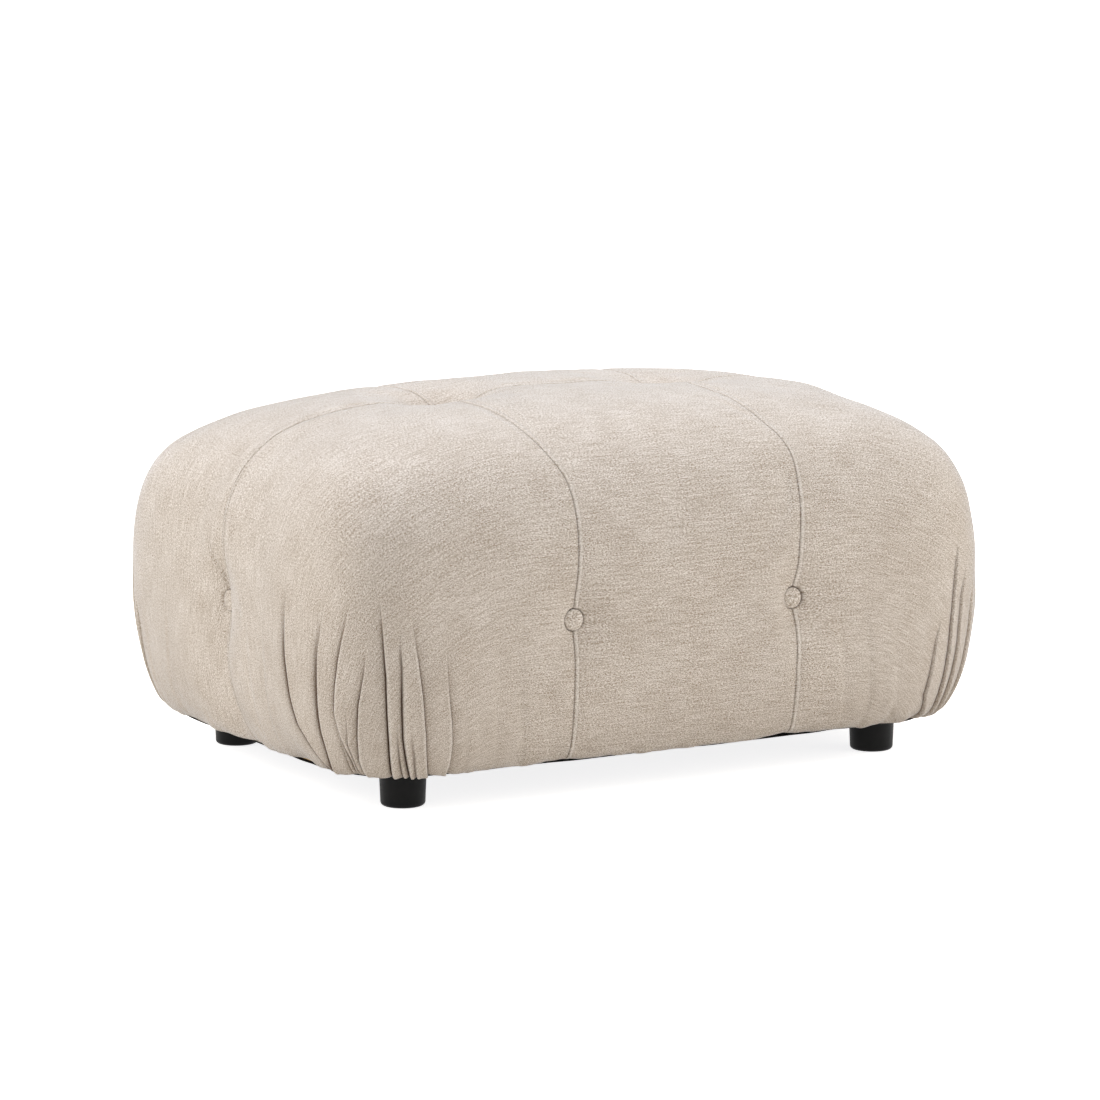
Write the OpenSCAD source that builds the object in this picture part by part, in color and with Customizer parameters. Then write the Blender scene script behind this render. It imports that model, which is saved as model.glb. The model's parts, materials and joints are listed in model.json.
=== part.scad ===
// Upholstered pouf: a low rectangular seat with six sewn cover panels, button tufts
// and four round feet. +Z is up, +X runs along the seat, and the origin lies on the
// floor under the middle of the seat.

/* [Seat] */
// Length of the seat between its end faces, before they are drawn in
seat_l = 884; // [820:1:950]
// Width of the seat between its long faces, before they are drawn in
seat_w = 625; // [590:1:680]
// Height of the widest line round the sides
side_z = 187; // [170:1:200]
// Height at which the domed top starts from the sides' curve
shoulder_z = 394; // [384:1:420]
// Rise of the crown in the middle of the top
crown_h = 33.5; // [20:0.5:45]
// How far the rounded edge reaches in over the top
edge_reach = 243; // [225:1:260]
// Squareness of the edge from side to top: 2 is round, more is squarer
edge_exp = 3.55; // [3.2:0.05:4.5]
// Squareness of the seat's corners in plan: 2 is round, more is squarer
corner_exp = 4.17; // [3.6:0.01:5]
// How far the sides are pulled in at the hem
tuck_in = 39; // [34:0.5:42]
// Fullness of the sides above the hem
tuck_exp = 1.84; // [1.7:0.01:2.4]
// How far the long faces are drawn in at mid length
draw_long = 5.4; // [0:0.1:9]
// How far the end faces are drawn in at mid width
draw_end = 10.3; // [0:0.1:13]

/* [Seams and tufts] */
// Distance of the two cross seams from the middle of the seat
seam_x = 146.5; // [130:0.5:165]
// Depth of the stitched groove along a seam
seam_depth = 2.5; // [1:0.1:4]
// Half width of the stitched groove
seam_w = 4; // [2.5:0.1:6]
// Depth of the soft valley on both sides of a seam
valley_depth = 4; // [0:0.1:6]
// Reach of the soft valley from its seam
valley_reach = 30; // [20:1:45]
// Depth of the two tufts on top
tuft_depth = 30; // [10:0.5:36]
// Reach of a top tuft from its button
tuft_reach = 52; // [35:1:70]
// Height of the side buttons
button_z = 207; // [195:1:220]
// Depth of the dimple at a side button
dimple_depth = 10; // [4:0.5:14]
// Reach of a side dimple from its button
dimple_reach = 27; // [18:1:40]
// Number of gathers round each corner
gather_n = 9; // [5:1:11]
// Depth of the corner gathers at the hem
gather_depth = 6.5; // [2:0.1:8]
// Height at which the corner gathers run out
gather_top = 222; // [150:1:260]

/* [Buttons and ties] */
// Diameter of the covered buttons
button_d = 24; // [18:0.5:28]
// Thickness of a covered button at its middle
button_t = 7; // [5:0.5:9]
// How far a button is sunk below the fabric around it
button_sunk = 3.5; // [2:0.1:5]
// Diameter of the tie twine
twine_d = 2.4; // [1.5:0.1:3]
// Clearance round the twine in every hole
twine_clear = 0.8; // [0.5:0.1:2]
// Diameter of the tie washers behind the frame's panels
washer_d = 20; // [14:1:26]
// Thickness of the tie washers
washer_t = 2.5; // [1.5:0.1:4]
// Length of the tie bars under the webbing
tie_bar_l = 72; // [60:1:90]
// Diameter of the tie bars
tie_bar_d = 10; // [8:0.5:14]

/* [Feet] */
// Height of the feet
foot_h = 42; // [30:1:60]
// Diameter of a foot at the top
foot_top_d = 53; // [44:0.5:58]
// Diameter of a foot at the floor
foot_base_d = 49.5; // [40:0.5:56]
// Rounding of a foot's lower edge
foot_round = 6; // [3:0.5:9]
// Distance of the feet from the base board's ends
foot_inset_l = 77.6; // [70:0.1:90]
// Distance of the feet from the base board's long sides
foot_inset_w = 56.3; // [56:0.1:62]
// Diameter of the foot bolts
bolt_d = 8; // [6:0.5:8.5]
// Clearance round the bolts
bolt_clear = 0.15; // [0.1:0.05:0.3]
// Depth of the bolt in the foot
bolt_in_foot = 22; // [15:1:28]
// Length of the bolt above the base board
bolt_over = 9; // [6:1:14]
// Diameter of the tee nuts' flange
nut_flange_d = 19; // [17:0.5:20]
// Thickness of the tee nuts' flange
nut_flange_t = 1.5; // [1:0.1:2]
// Diameter of the tee nuts' barrel
nut_barrel_d = 10.5; // [10:0.1:12]
// Length of the tee nuts' barrel
nut_barrel_l = 11; // [8:0.5:14]

/* [Frame] */
// Distance of the base board's edge inside the seat's widest outline
base_inset = 54; // [52:0.5:58]
// Thickness of the base board
base_t = 18; // [15:1:20]
// Corner radius of the base board
base_corner_r = 110; // [105:1:120]
// Diameter of the two access holes under the top ties
access_d = 80; // [60:1:84]
// Step from the base board's edge to the upright panels
panel_inset = 33; // [31:0.5:34]
// Thickness of the upright panels
panel_t = 12; // [9:1:12]
// Width of the top rails
rail_w = 45; // [35:1:50]
// Thickness of the top rails
rail_t = 22; // [18:1:26]
// Leg of the triangular corner blocks
block_leg = 90; // [70:1:110]
// Thickness of the corner blocks
block_t = 18; // [12:1:22]
// Side of the square cleats along the base board
cleat_s = 25; // [18:1:30]
// Depth of the cross rail
cross_h = 48; // [35:1:60]
// Sag room between the cross rail and the webbing
sag_room = 34; // [30:1:50]
// Width of the webbing straps
strap_w = 60; // [50:1:64]
// Thickness of the webbing straps
strap_t = 1.6; // [1.2:0.1:2.2]
// Gap between neighbouring crosswise straps
strap_gap = 30; // [26:1:36]
// Gap between neighbouring lengthwise straps
strap_gap_long = 40; // [34:1:46]
// Gap between two straps where they cross
weave_clear = 0.25; // [0.2:0.05:0.5]
// Thickness of the deck cloth
deck_t = 1; // [0.6:0.1:2]

/* [Padding] */
// Thickness of the wadding on the side foam
side_wadding = 34; // [33:0.5:36]
// Thickness of the wadding on the seat foam
top_wadding = 28; // [26:0.5:32]
// Corner radius of the foam in plan
foam_corner_r = 140; // [135:1:150]
// Radius of the foam's upper edge
foam_edge_r = 110; // [105:1:120]
// Height of the foam's bevel above the base board's edge
foam_bevel_h = 27; // [20:1:35]
// Gap between the covers and what they are drawn over
cover_clear = 0.3; // [0.2:0.05:0.5]

/* [Underside] */
// Thickness of the turned hem under the base board
hem_t = 2; // [1.5:0.1:3]
// Width of the turned hem
hem_w = 30; // [20:1:34]
// Thickness of the dust cover
dust_t = 1; // [0.6:0.1:1.5]
// Distance of the dust cover's edge outside the base board's edge
dust_over = 1; // [0:0.5:1.5]

/* [Hidden] */

FABRIC = "#cbbfae";
TIMBER = "#d9b98a";
PLY = "#cda873";
FOAM = "#efe3b4";
BLACK = "#1b1b1c";
STEEL = "#b4b6ba";
$fn = 96;

// The seat's outline: half sizes, and the flat rectangle inside the rounded edge
A = seat_l / 2;
B = seat_w / 2;
R = edge_reach;
Ai = A - R;
Bi = B - R;

// Heights of the stack, from the floor up
dust_z = foot_h;
hem_z = dust_z + dust_t;
base_z = hem_z + hem_t;
deck0_z = base_z + base_t;
rail_top = button_z + washer_d / 2 + 1 + rail_t;
strap_lo = rail_top + strap_t / 2;
strap_hi = strap_lo + strap_t + weave_clear;
deck_z = strap_hi + strap_t / 2 + 0.2;
foam_z = deck_z + deck_t;
foam_top_z = shoulder_z - top_wadding;

// Half sizes of the base board, the upright box and the foam
base_x = A - base_inset;
base_y = B - base_inset;
box_x = base_x - panel_inset;
box_y = base_y - panel_inset;
in_x = box_x - panel_t;
in_y = box_y - panel_t;
foam_x = A - side_wadding;
foam_y = B - side_wadding;
foot_x = base_x - foot_inset_l;
foot_y = base_y - foot_inset_w;
split_x = foam_x - foam_corner_r;

// Straps: one gap of each set is centred on the top ties
pitch = strap_w + strap_gap;
pitch_l = strap_w + strap_gap_long;
cross_x = [-seam_x - 1.5 * pitch, -seam_x - pitch / 2, -seam_x + pitch / 2, 0,
           seam_x - pitch / 2, seam_x + pitch / 2, seam_x + 1.5 * pitch];
long_y = [-1.5 * pitch_l, -pitch_l / 2, pitch_l / 2, 1.5 * pitch_l];

// The surface of the cover
function sq(v) = v * v;
// Section from side to top: reach r over height z, and back again
function reach(z) = z >= side_z
    ? R * pow(max(0, 1 - pow((z - side_z) / (shoulder_z - side_z), edge_exp)), 1 / edge_exp)
    : R - tuck_in * (1 - pow(max(0, 1 - pow((side_z - z) / (side_z - hem_z), tuck_exp)),
                             1 / tuck_exp));
function height(r) = side_z + (shoulder_z - side_z)
    * pow(max(0, 1 - pow(r / R, edge_exp)), 1 / edge_exp);

// Rows from the top's flat rectangle down to the hem, as [reach, height]
top_n = 6;
wall_n = 5;
low_n = 7;
top_rows = [for (k = [1:top_n]) let (r = R * (1 - pow(1 - k / (top_n + 1), 1.35)))
    [r, height(r)]];
wall_z = top_rows[top_n - 1][1];
rows = concat(top_rows,
    [for (k = [wall_n - 1:-1:0])
        let (z = button_z + (wall_z - button_z) * pow(k / wall_n, 1.3)) [reach(z), z]],
    [for (k = [1:low_n])
        let (z = button_z - (button_z - hem_z) * pow(k / low_n, 1.25)) [reach(z), z]]);
last = len(rows) - 1;

// Slope of a row: share of its normal that points out, and share that points up
function slope(r, z) = z <= side_z ? [1, 0]
    : let (n = [pow(r / R, edge_exp - 1) / R,
                pow((z - side_z) / (shoulder_z - side_z), edge_exp - 1)
                / (shoulder_z - side_z)]) n / norm(n);

// A column is [start x, start y, run x, run y, normal x, normal y, gather]
function long_col(x) = [x, -Bi, 0, -1, 0, -1, 0];
function end_col(y) = [Ai, y, 1, 0, 1, 0, 0];
function corner_col(t) =
    let (a = 90 * t, s = sin(a), c = cos(a),
         f = pow(pow(s, corner_exp) + pow(c, corner_exp), -1 / corner_exp),
         n = [pow(s, corner_exp - 1), -pow(c, corner_exp - 1)])
    [Ai, -Bi, f * s, -f * c, n[0] / norm(n), n[1] / norm(n),
     min(1, 3.2 * min(t, 1 - t)) * (0.5 - 0.5 * cos(360 * gather_n * t))];

// Undisturbed surface of a column at one row
function smooth(c, r, z) =
    let (x0 = c[0] + r * c[2], y0 = c[1] + r * c[3],
         x = x0 - draw_end * r / R * (1 - sq(y0 / B)) * abs(c[4]),
         y = y0 + draw_long * r / R * (1 - sq(x0 / A)) * abs(c[5]))
    [x, y, z + crown(x, y, z)];
function crown(x, y, z) = crown_h * max(0, min(1, (z - side_z) / (shoulder_z - side_z)))
    * (1 - sq(x / A)) * (1 - sq(y / B));

// Centres of the buttons on the undisturbed surface
long_button = smooth(long_col(seam_x), reach(button_z), button_z);
end_button = smooth(end_col(0), reach(button_z), button_z);
top_button = [seam_x, 0, shoulder_z + crown(seam_x, 0, shoulder_z)];

// Depth below the undisturbed surface at p
function bump(d2, w) = exp(-d2 / (w * w));
function groove(p) =
    let (dx = abs(abs(p[0]) - seam_x), dy = abs(p[1]))
    seam_depth * max(0, 1 - min(dx, dy) / seam_w)
    + valley_depth * (bump(dx * dx, valley_reach) + bump(dy * dy, valley_reach));
function near(p, c, w) = let (q = [abs(p[0]), -abs(p[1]), p[2]] - c) bump(sq(q), w);
function gather(g, z) = z >= gather_top ? 0
    : gather_depth * g * pow((gather_top - z) / (gather_top - hem_z), 0.8);
function depth(p, g) = groove(p) + tuft_depth * near(p, top_button, tuft_reach)
    + dimple_depth * (near(p, long_button, dimple_reach) + near(p, end_button, dimple_reach))
    + gather(g, p[2]);

// Point of the cover at a column and a row, and point of the flat rectangle
function cover_point(c, row) =
    let (p = smooth(c, row[0], row[1]), s = slope(row[0], row[1]), d = depth(p, c[6]))
    [p[0] - d * s[0] * c[4], p[1] - d * s[0] * c[5], p[2] - d * s[1]];
function flat_point(x, y) =
    let (p = [x, y, shoulder_z + crown(x, y, shoulder_z)]) [x, y, p[2] - depth(p, 0)];

// Depths at the button seats
long_seat = abs(long_button[1]) - depth(long_button, 0) - button_sunk;
end_seat = end_button[0] - depth(end_button, 0) - button_sunk;
top_seat = top_button[2] - depth(top_button, 0) - button_sunk;

// Columns of a corner panel, finer beside its seams
long_n = 5;
end_n = 6;
mid_n = 7;
corner_n = 4 * gather_n;
long_xs = [for (i = [0:long_n]) seam_x + (Ai - seam_x) * pow(i / long_n, 1.5)];
end_ys = [for (i = [0:end_n]) -Bi * pow(i / end_n, 1.5)];
corner_cols = concat([for (x = long_xs) long_col(x)],
    [for (i = [1:corner_n - 1]) corner_col(i / corner_n)],
    [for (i = [end_n:-1:0]) end_col(end_ys[i])]);
mid_xs = [for (i = [-mid_n:mid_n]) seam_x * sign(i) * (1 - pow(1 - abs(i) / mid_n, 1.9))];

// Panels of the cover
// A panel's faces: flat rectangle of nx by ny cells, its rows, and fans to the inside
function quad(a, b, c, d) = [[a, b, c], [a, c, d]];
function flat_id(i, j, ny) = i * (ny + 1) + j;
function row_id(c, k, first) = first + c * (last + 1) + k;

module corner_panel() {
    nx = long_n;
    ny = end_n;
    nc = len(corner_cols) - 1;
    first = (nx + 1) * (ny + 1);
    points = concat([for (x = long_xs) for (y = end_ys) flat_point(x, y)],
        [for (c = corner_cols) for (row = rows) cover_point(c, row)],
        [[seam_x, 0, hem_z]]);
    hub = len(points) - 1;
    // index of the flat rectangle's edge above column c
    function edge(c) = c <= nx ? flat_id(c, ny, ny)
        : c >= nc - ny ? flat_id(nx, nc - c, ny) : flat_id(nx, ny, ny);
    flat_faces = [for (i = [0:nx - 1]) for (j = [0:ny - 1])
        each quad(flat_id(i, j, ny), flat_id(i + 1, j, ny),
                  flat_id(i + 1, j + 1, ny), flat_id(i, j + 1, ny))];
    first_faces = [for (c = [0:nc - 1]) each edge(c) == edge(c + 1)
        ? [[edge(c), row_id(c + 1, 0, first), row_id(c, 0, first)]]
        : quad(edge(c), edge(c + 1), row_id(c + 1, 0, first), row_id(c, 0, first))];
    row_faces = [for (c = [0:nc - 1]) for (k = [0:last - 1])
        each quad(row_id(c, k, first), row_id(c + 1, k, first),
                  row_id(c + 1, k + 1, first), row_id(c, k + 1, first))];
    rim = concat([for (j = [0:ny]) flat_id(0, j, ny)],
        [for (k = [0:last]) row_id(0, k, first)],
        [for (c = [1:nc]) row_id(c, last, first)],
        [for (k = [last - 1:-1:0]) row_id(nc, k, first)],
        [for (i = [nx:-1:1]) flat_id(i, 0, ny)]);
    fan = [for (i = [0:len(rim) - 1]) [hub, rim[(i + 1) % len(rim)], rim[i]]];
    polyhedron(points, concat(flat_faces, first_faces, row_faces, fan));
}

module middle_panel() {
    nx = len(mid_xs) - 1;
    ny = end_n;
    first = (nx + 1) * (ny + 1);
    points = concat([for (x = mid_xs) for (y = end_ys) flat_point(x, y)],
        [for (x = mid_xs) for (row = rows) cover_point(long_col(x), row)],
        [[-seam_x, 0, hem_z], [seam_x, 0, hem_z]]);
    left = len(points) - 2;
    right = len(points) - 1;
    flat_faces = [for (i = [0:nx - 1]) for (j = [0:ny - 1])
        each quad(flat_id(i, j, ny), flat_id(i + 1, j, ny),
                  flat_id(i + 1, j + 1, ny), flat_id(i, j + 1, ny))];
    first_faces = [for (i = [0:nx - 1])
        each quad(flat_id(i, ny, ny), flat_id(i + 1, ny, ny),
                  row_id(i + 1, 0, first), row_id(i, 0, first))];
    row_faces = [for (i = [0:nx - 1]) for (k = [0:last - 1])
        each quad(row_id(i, k, first), row_id(i + 1, k, first),
                  row_id(i + 1, k + 1, first), row_id(i, k + 1, first))];
    left_rim = concat([for (j = [0:ny]) flat_id(0, j, ny)],
        [for (k = [0:last]) row_id(0, k, first)]);
    right_rim = concat([for (j = [0:ny]) flat_id(nx, j, ny)],
        [for (k = [0:last]) row_id(nx, k, first)]);
    base_rim = [for (i = [0:nx]) row_id(i, last, first)];
    back_rim = [for (i = [0:nx]) flat_id(i, 0, ny)];
    n = len(left_rim) - 1;
    caps = concat([for (k = [0:n - 1]) [left, left_rim[k + 1], left_rim[k]]],
        [for (k = [0:n - 1]) [right, right_rim[k], right_rim[k + 1]]],
        [for (i = [0:nx - 1]) [left, base_rim[i + 1], base_rim[i]]],
        [[left, right, base_rim[nx]]],
        [for (i = [0:nx - 1]) [left, back_rim[i], back_rim[i + 1]]],
        [[left, back_rim[nx], right]]);
    polyhedron(points, concat(flat_faces, first_faces, row_faces, caps));
}

// Shared shapes
module plate_outline(hx, hy, r) {
    union() {
        square([2 * hx - 2 * r, 2 * hy], center = true);
        square([2 * hx, 2 * hy - 2 * r], center = true);
        for (sx = [-1, 1]) for (sy = [-1, 1])
            translate([sx * (hx - r), sy * (hy - r)]) circle(r = r);
    }
}

module plate(hx, hy, r, z, t) {
    translate([0, 0, z]) linear_extrude(height = t) plate_outline(hx, hy, r);
}

// Section of the foam: bevelled foot on the base board, upright side, rounded top edge
function foam_section(hb, hf, g) = let (n = 9, er = foam_edge_r)
    concat([[hb + g, deck0_z - g], [hf + g, deck0_z + foam_bevel_h]],
        [for (i = [0:n]) let (a = 90 * i / n)
            [hf + g - er * (1 - cos(a)), foam_top_z + g - er * (1 - sin(a))]]);
function both_sides(s) = concat(s, [for (i = [len(s) - 1:-1:0]) [-s[i][0], s[i][1]]]);

module foam_body(g) {
    long = 2 * (A + B);
    intersection() {
        translate([0, long / 2, 0]) rotate([90, 0, 0]) linear_extrude(height = long)
            polygon(both_sides(foam_section(base_x, foam_x, g)));
        translate([-long / 2, 0, 0]) rotate([90, 0, 90]) linear_extrude(height = long)
            polygon(both_sides(foam_section(base_y, foam_y, g)));
        plate(foam_x + g, foam_y + g, foam_corner_r + g, deck0_z - 1, foam_top_z);
    }
}

// Everything that the cover is drawn over, grown by its clearance
module cover_core() {
    foam_body(cover_clear);
    plate(base_x + cover_clear, base_y + cover_clear, base_corner_r + cover_clear,
          base_z, base_t + 1);
    plate(base_x - hem_w, base_y - hem_w, base_corner_r - hem_w, hem_z - 1, hem_t + 2);
}

module slab(x0, x1, y0, y1, z0, z1) {
    translate([x0, y0, z0]) cube([x1 - x0, y1 - y0, z1 - z0]);
}

// Straight rods along y, along x and upright
module rod_y(x, z, y0, y1, d) {
    translate([x, y0, z]) rotate([-90, 0, 0]) cylinder(d = d, h = y1 - y0);
}
module rod_x(y, z, x0, x1, d) {
    translate([x0, y, z]) rotate([0, 90, 0]) cylinder(d = d, h = x1 - x0);
}
module rod_z(x, y, z0, z1, d) {
    translate([x, y, z0]) cylinder(d = d, h = z1 - z0);
}

hole_d = twine_d + 2 * twine_clear;
pocket_d = button_d + 2 * cover_clear;

// Holes for the ties of the front and right side and of the top, mirrored to the others
module front_ties(d) {
    for (x = [-seam_x, seam_x]) rod_y(x, button_z, -long_seat, -in_y, d);
}
module right_tie(d) {
    rod_x(0, button_z, in_x, end_seat, d);
}
module top_ties(d) {
    for (x = [-seam_x, seam_x]) rod_z(x, 0, rail_top - tie_bar_d / 2, top_seat, d);
}
module pockets() {
    for (x = [-seam_x, seam_x]) {
        rod_y(x, button_z, -B - 20, -long_seat, pocket_d);
        rod_z(x, 0, top_seat, shoulder_z + crown_h + 20, pocket_d);
    }
    rod_x(0, button_z, end_seat, A + 20, pocket_d);
}

module cover(front, right, middle) {
    color(FABRIC)
    mirror([0, front ? 0 : 1, 0]) mirror([right ? 0 : 1, 0, 0])
    difference() {
        if (middle) middle_panel(); else corner_panel();
        cover_core();
        pockets();
        front_ties(hole_d);
        right_tie(hole_d);
        top_ties(hole_d);
    }
}

// Covered button: flat back, turned rim and low dome
module button_body() {
    r = button_d / 2;
    rim = button_t * 0.45;
    n = 8;
    color(FABRIC) rotate_extrude() polygon(concat(
        [[0, 0], [r - 1.2, 0], [r, 1.2]],
        [for (i = [0:n]) let (a = 90 * i / n) [r * cos(a), rim + (button_t - rim) * sin(a)]]));
}
module side_button(x, front) {
    mirror([0, front ? 0 : 1, 0]) translate([x, -long_seat, button_z])
        rotate([90, 0, 0]) button_body();
}
module end_cover_button(right) {
    mirror([right ? 0 : 1, 0, 0]) translate([end_seat, 0, button_z])
        rotate([0, 90, 0]) button_body();
}
module seat_button(x) {
    translate([x, 0, top_seat]) button_body();
}

// Feet
// Moulded foot: slight taper, rounded lower edge, hollow underside and a bolt socket
module foot(sx, sy) {
    rb = foot_base_d / 2;
    rt = foot_top_d / 2;
    n = 6;
    taper = (rt - rb) * foot_round / foot_h;
    color(BLACK) translate([sx * foot_x, sy * foot_y, 0]) difference() {
        rotate_extrude() polygon(concat([[0, 0]],
            [for (i = [0:n]) let (a = 90 * i / n)
                [rb + taper - foot_round * (1 - sin(a)), foot_round * (1 - cos(a))]],
            [[rt, foot_h - 1], [rt - 1, foot_h], [0, foot_h]]));
        rod_z(0, 0, foot_h - bolt_in_foot, foot_h + 1, bolt_d + 2 * bolt_clear);
        rod_z(0, 0, -1, 1.2, foot_base_d * 0.5);
    }
}

module each_foot() {
    for (sx = [-1, 1]) for (sy = [-1, 1]) translate([sx * foot_x, sy * foot_y, 0])
        children();
}

module foot_bolts() {
    color(STEEL) each_foot()
        rod_z(0, 0, foot_h - bolt_in_foot, deck0_z + bolt_over, bolt_d);
}

module tee_nuts() {
    color(STEEL) each_foot() difference() {
        union() {
            rod_z(0, 0, deck0_z, deck0_z + nut_flange_t, nut_flange_d);
            rod_z(0, 0, deck0_z - nut_barrel_l, deck0_z + 0.5, nut_barrel_d);
        }
        rod_z(0, 0, deck0_z - nut_barrel_l - 1, deck0_z + nut_flange_t + 1,
              bolt_d + 2 * bolt_clear);
    }
}

// Frame
module base_board() {
    color(PLY) difference() {
        plate(base_x, base_y, base_corner_r, base_z, base_t);
        for (x = [-seam_x, seam_x]) rod_z(x, 0, base_z - 1, deck0_z + 1, access_d);
        each_foot() rod_z(0, 0, base_z - 1, deck0_z + 1, nut_barrel_d + 2 * bolt_clear);
    }
}

module long_panel(front) {
    color(PLY) mirror([0, front ? 0 : 1, 0]) difference() {
        slab(-box_x, box_x, -box_y, -in_y, deck0_z, rail_top);
        for (x = [-seam_x, seam_x]) rod_y(x, button_z, -box_y - 1, -in_y + 1, hole_d);
    }
}

module end_panel(right) {
    color(PLY) mirror([right ? 0 : 1, 0, 0]) difference() {
        slab(in_x, box_x, -in_y, in_y, deck0_z, rail_top);
        rod_x(0, button_z, in_x - 1, box_x + 1, hole_d);
    }
}

module cleat_long(front) {
    l = foot_x - 2 * nut_flange_d;
    color(TIMBER) mirror([0, front ? 0 : 1, 0])
        slab(-l, l, -in_y, -in_y + cleat_s, deck0_z, deck0_z + cleat_s);
}

module cleat_end(right) {
    l = foot_y - 2 * nut_flange_d;
    color(TIMBER) mirror([right ? 0 : 1, 0, 0])
        slab(in_x - cleat_s, in_x, -l, l, deck0_z, deck0_z + cleat_s);
}

module rail_long(front) {
    color(TIMBER) mirror([0, front ? 0 : 1, 0])
        slab(-in_x, in_x, -in_y, -in_y + rail_w, rail_top - rail_t, rail_top);
}

module rail_end(right) {
    l = in_y - rail_w;
    color(TIMBER) mirror([right ? 0 : 1, 0, 0])
        slab(in_x - rail_w, in_x, -l, l, rail_top - rail_t, rail_top);
}

module corner_blocks() {
    color(TIMBER) for (sx = [0, 1]) for (sy = [0, 1])
        mirror([sx, 0, 0]) mirror([0, sy, 0])
        translate([in_x, in_y, rail_top - rail_t - block_t]) linear_extrude(height = block_t)
            polygon([[0, 0], [-block_leg, 0], [-block_leg, -12], [-12, -block_leg],
                     [0, -block_leg]]);
}

module cross_rail() {
    z = rail_top - sag_room;
    color(TIMBER) slab(-rail_t / 2, rail_t / 2, -in_y, in_y, z - cross_h, z);
}

// Suspension
// Middle line of a strap that is low, or rises, where it crosses each of the others
function weave_line(at, other_w, end, parity) = let (m = other_w / 2 + 3, n = len(at))
    concat([[-end, strap_lo]],
        [for (i = [0:n - 1]) for (e = [-1, 1])
            [at[i] + e * m, (i + parity) % 2 == 0 ? strap_lo : strap_hi]],
        [[end, strap_lo]]);
function ribbon(line) = concat([for (p = line) [p[0], p[1] - strap_t / 2]],
    [for (i = [len(line) - 1:-1:0]) [line[i][0], line[i][1] + strap_t / 2]]);
ends_x = max(cross_x) + strap_w / 2;
ends_y = max(long_y) + strap_w / 2;

module webbing_long() {
    color(BLACK) for (j = [0:len(long_y) - 1]) translate([0, long_y[j] + strap_w / 2, 0])
        rotate([90, 0, 0]) linear_extrude(height = strap_w)
        polygon(ribbon(weave_line(cross_x, strap_w, box_x - 5, j)));
}

module webbing_cross() {
    color(BLACK) for (i = [0:len(cross_x) - 1]) translate([cross_x[i] - strap_w / 2, 0, 0])
        rotate([90, 0, 90]) linear_extrude(height = strap_w)
        polygon(ribbon(weave_line(long_y, strap_w, box_y - 5, i + 1)));
}

module deck_cloth() {
    color("#b79f78") difference() {
        slab(-box_x, box_x, -box_y, box_y, deck_z, foam_z);
        top_ties(hole_d);
    }
}

// Foam
module side_band() {
    difference() {
        foam_body(0);
        slab(-box_x, box_x, -box_y, box_y, deck0_z - 2, foam_z + 1);
        slab(-A, A, -B, B, foam_z, foam_top_z + 1);
        mirror([0, 1, 0]) front_ties(hole_d);
        front_ties(hole_d);
        mirror([1, 0, 0]) right_tie(hole_d);
        right_tie(hole_d);
    }
}

module foam_long(front) {
    color(FOAM) intersection() {
        side_band();
        slab(-split_x, split_x, front ? -B : 0, front ? 0 : B, 0, foam_z);
    }
}

module foam_end(right) {
    color(FOAM) intersection() {
        side_band();
        slab(right ? split_x : -A, right ? A : -split_x, -B, B, 0, foam_z);
    }
}

module foam_top() {
    color(FOAM) difference() {
        intersection() {
            foam_body(0);
            slab(-A, A, -B, B, foam_z, foam_top_z + 1);
        }
        top_ties(hole_d);
    }
}

// Ties
module twines() {
    color("#e9e2d2") {
        front_ties(twine_d);
        mirror([0, 1, 0]) front_ties(twine_d);
        right_tie(twine_d);
        mirror([1, 0, 0]) right_tie(twine_d);
        for (x = [-seam_x, seam_x]) rod_z(x, 0, rail_top, top_seat, twine_d);
    }
}

module ring_washer() {
    difference() {
        cylinder(d = washer_d, h = washer_t);
        translate([0, 0, 1]) cylinder(d = hole_d, h = washer_t);
    }
}

// Washers lie on the inner faces of the panels, with their knot side inwards
module tie_washers() {
    color(STEEL) {
        for (x = [-seam_x, seam_x]) for (m = [0, 1]) mirror([0, m, 0])
            translate([x, -in_y, button_z]) rotate([-90, 0, 0]) ring_washer();
        for (m = [0, 1]) mirror([m, 0, 0])
            translate([in_x, 0, button_z]) rotate([0, -90, 0]) ring_washer();
    }
}

// Tie bars lie under the lengthwise straps on both sides of a tie
module tie_bars() {
    color(TIMBER) for (x = [-seam_x, seam_x])
        rod_y(x, rail_top - tie_bar_d / 2 - 0.1, -tie_bar_l / 2, tie_bar_l / 2, tie_bar_d);
}

module dust_cover() {
    r = base_corner_r + dust_over;
    color(BLACK) difference() {
        plate(base_x + dust_over, base_y + dust_over, r, dust_z, dust_t);
        each_foot() rod_z(0, 0, dust_z - 1, hem_z + 1, bolt_d + 4 * bolt_clear);
    }
}

foot(-1, -1);  // foot_front_left
foot(1, -1);  // foot_front_right
foot(-1, 1);  // foot_back_left
foot(1, 1);  // foot_back_right
foot_bolts();
tee_nuts();
base_board();
long_panel(true);  // panel_front
long_panel(false);  // panel_back
end_panel(false);  // panel_left
end_panel(true);  // panel_right
cleat_long(true);  // cleat_front
cleat_long(false);  // cleat_back
cleat_end(false);  // cleat_left
cleat_end(true);  // cleat_right
rail_long(true);  // rail_front
rail_long(false);  // rail_back
rail_end(false);  // rail_left
rail_end(true);  // rail_right
corner_blocks();
cross_rail();
webbing_long();
webbing_cross();
deck_cloth();
foam_long(true);  // foam_front
foam_long(false);  // foam_back
foam_end(false);  // foam_left
foam_end(true);  // foam_right
foam_top();
cover(true, false, false);  // cover_front_left
cover(true, true, true);  // cover_front_middle
cover(true, true, false);  // cover_front_right
cover(false, false, false);  // cover_back_left
cover(false, true, true);  // cover_back_middle
cover(false, true, false);  // cover_back_right
seat_button(-seam_x);  // button_top_left
seat_button(seam_x);  // button_top_right
side_button(-seam_x, true);  // button_front_left
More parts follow.
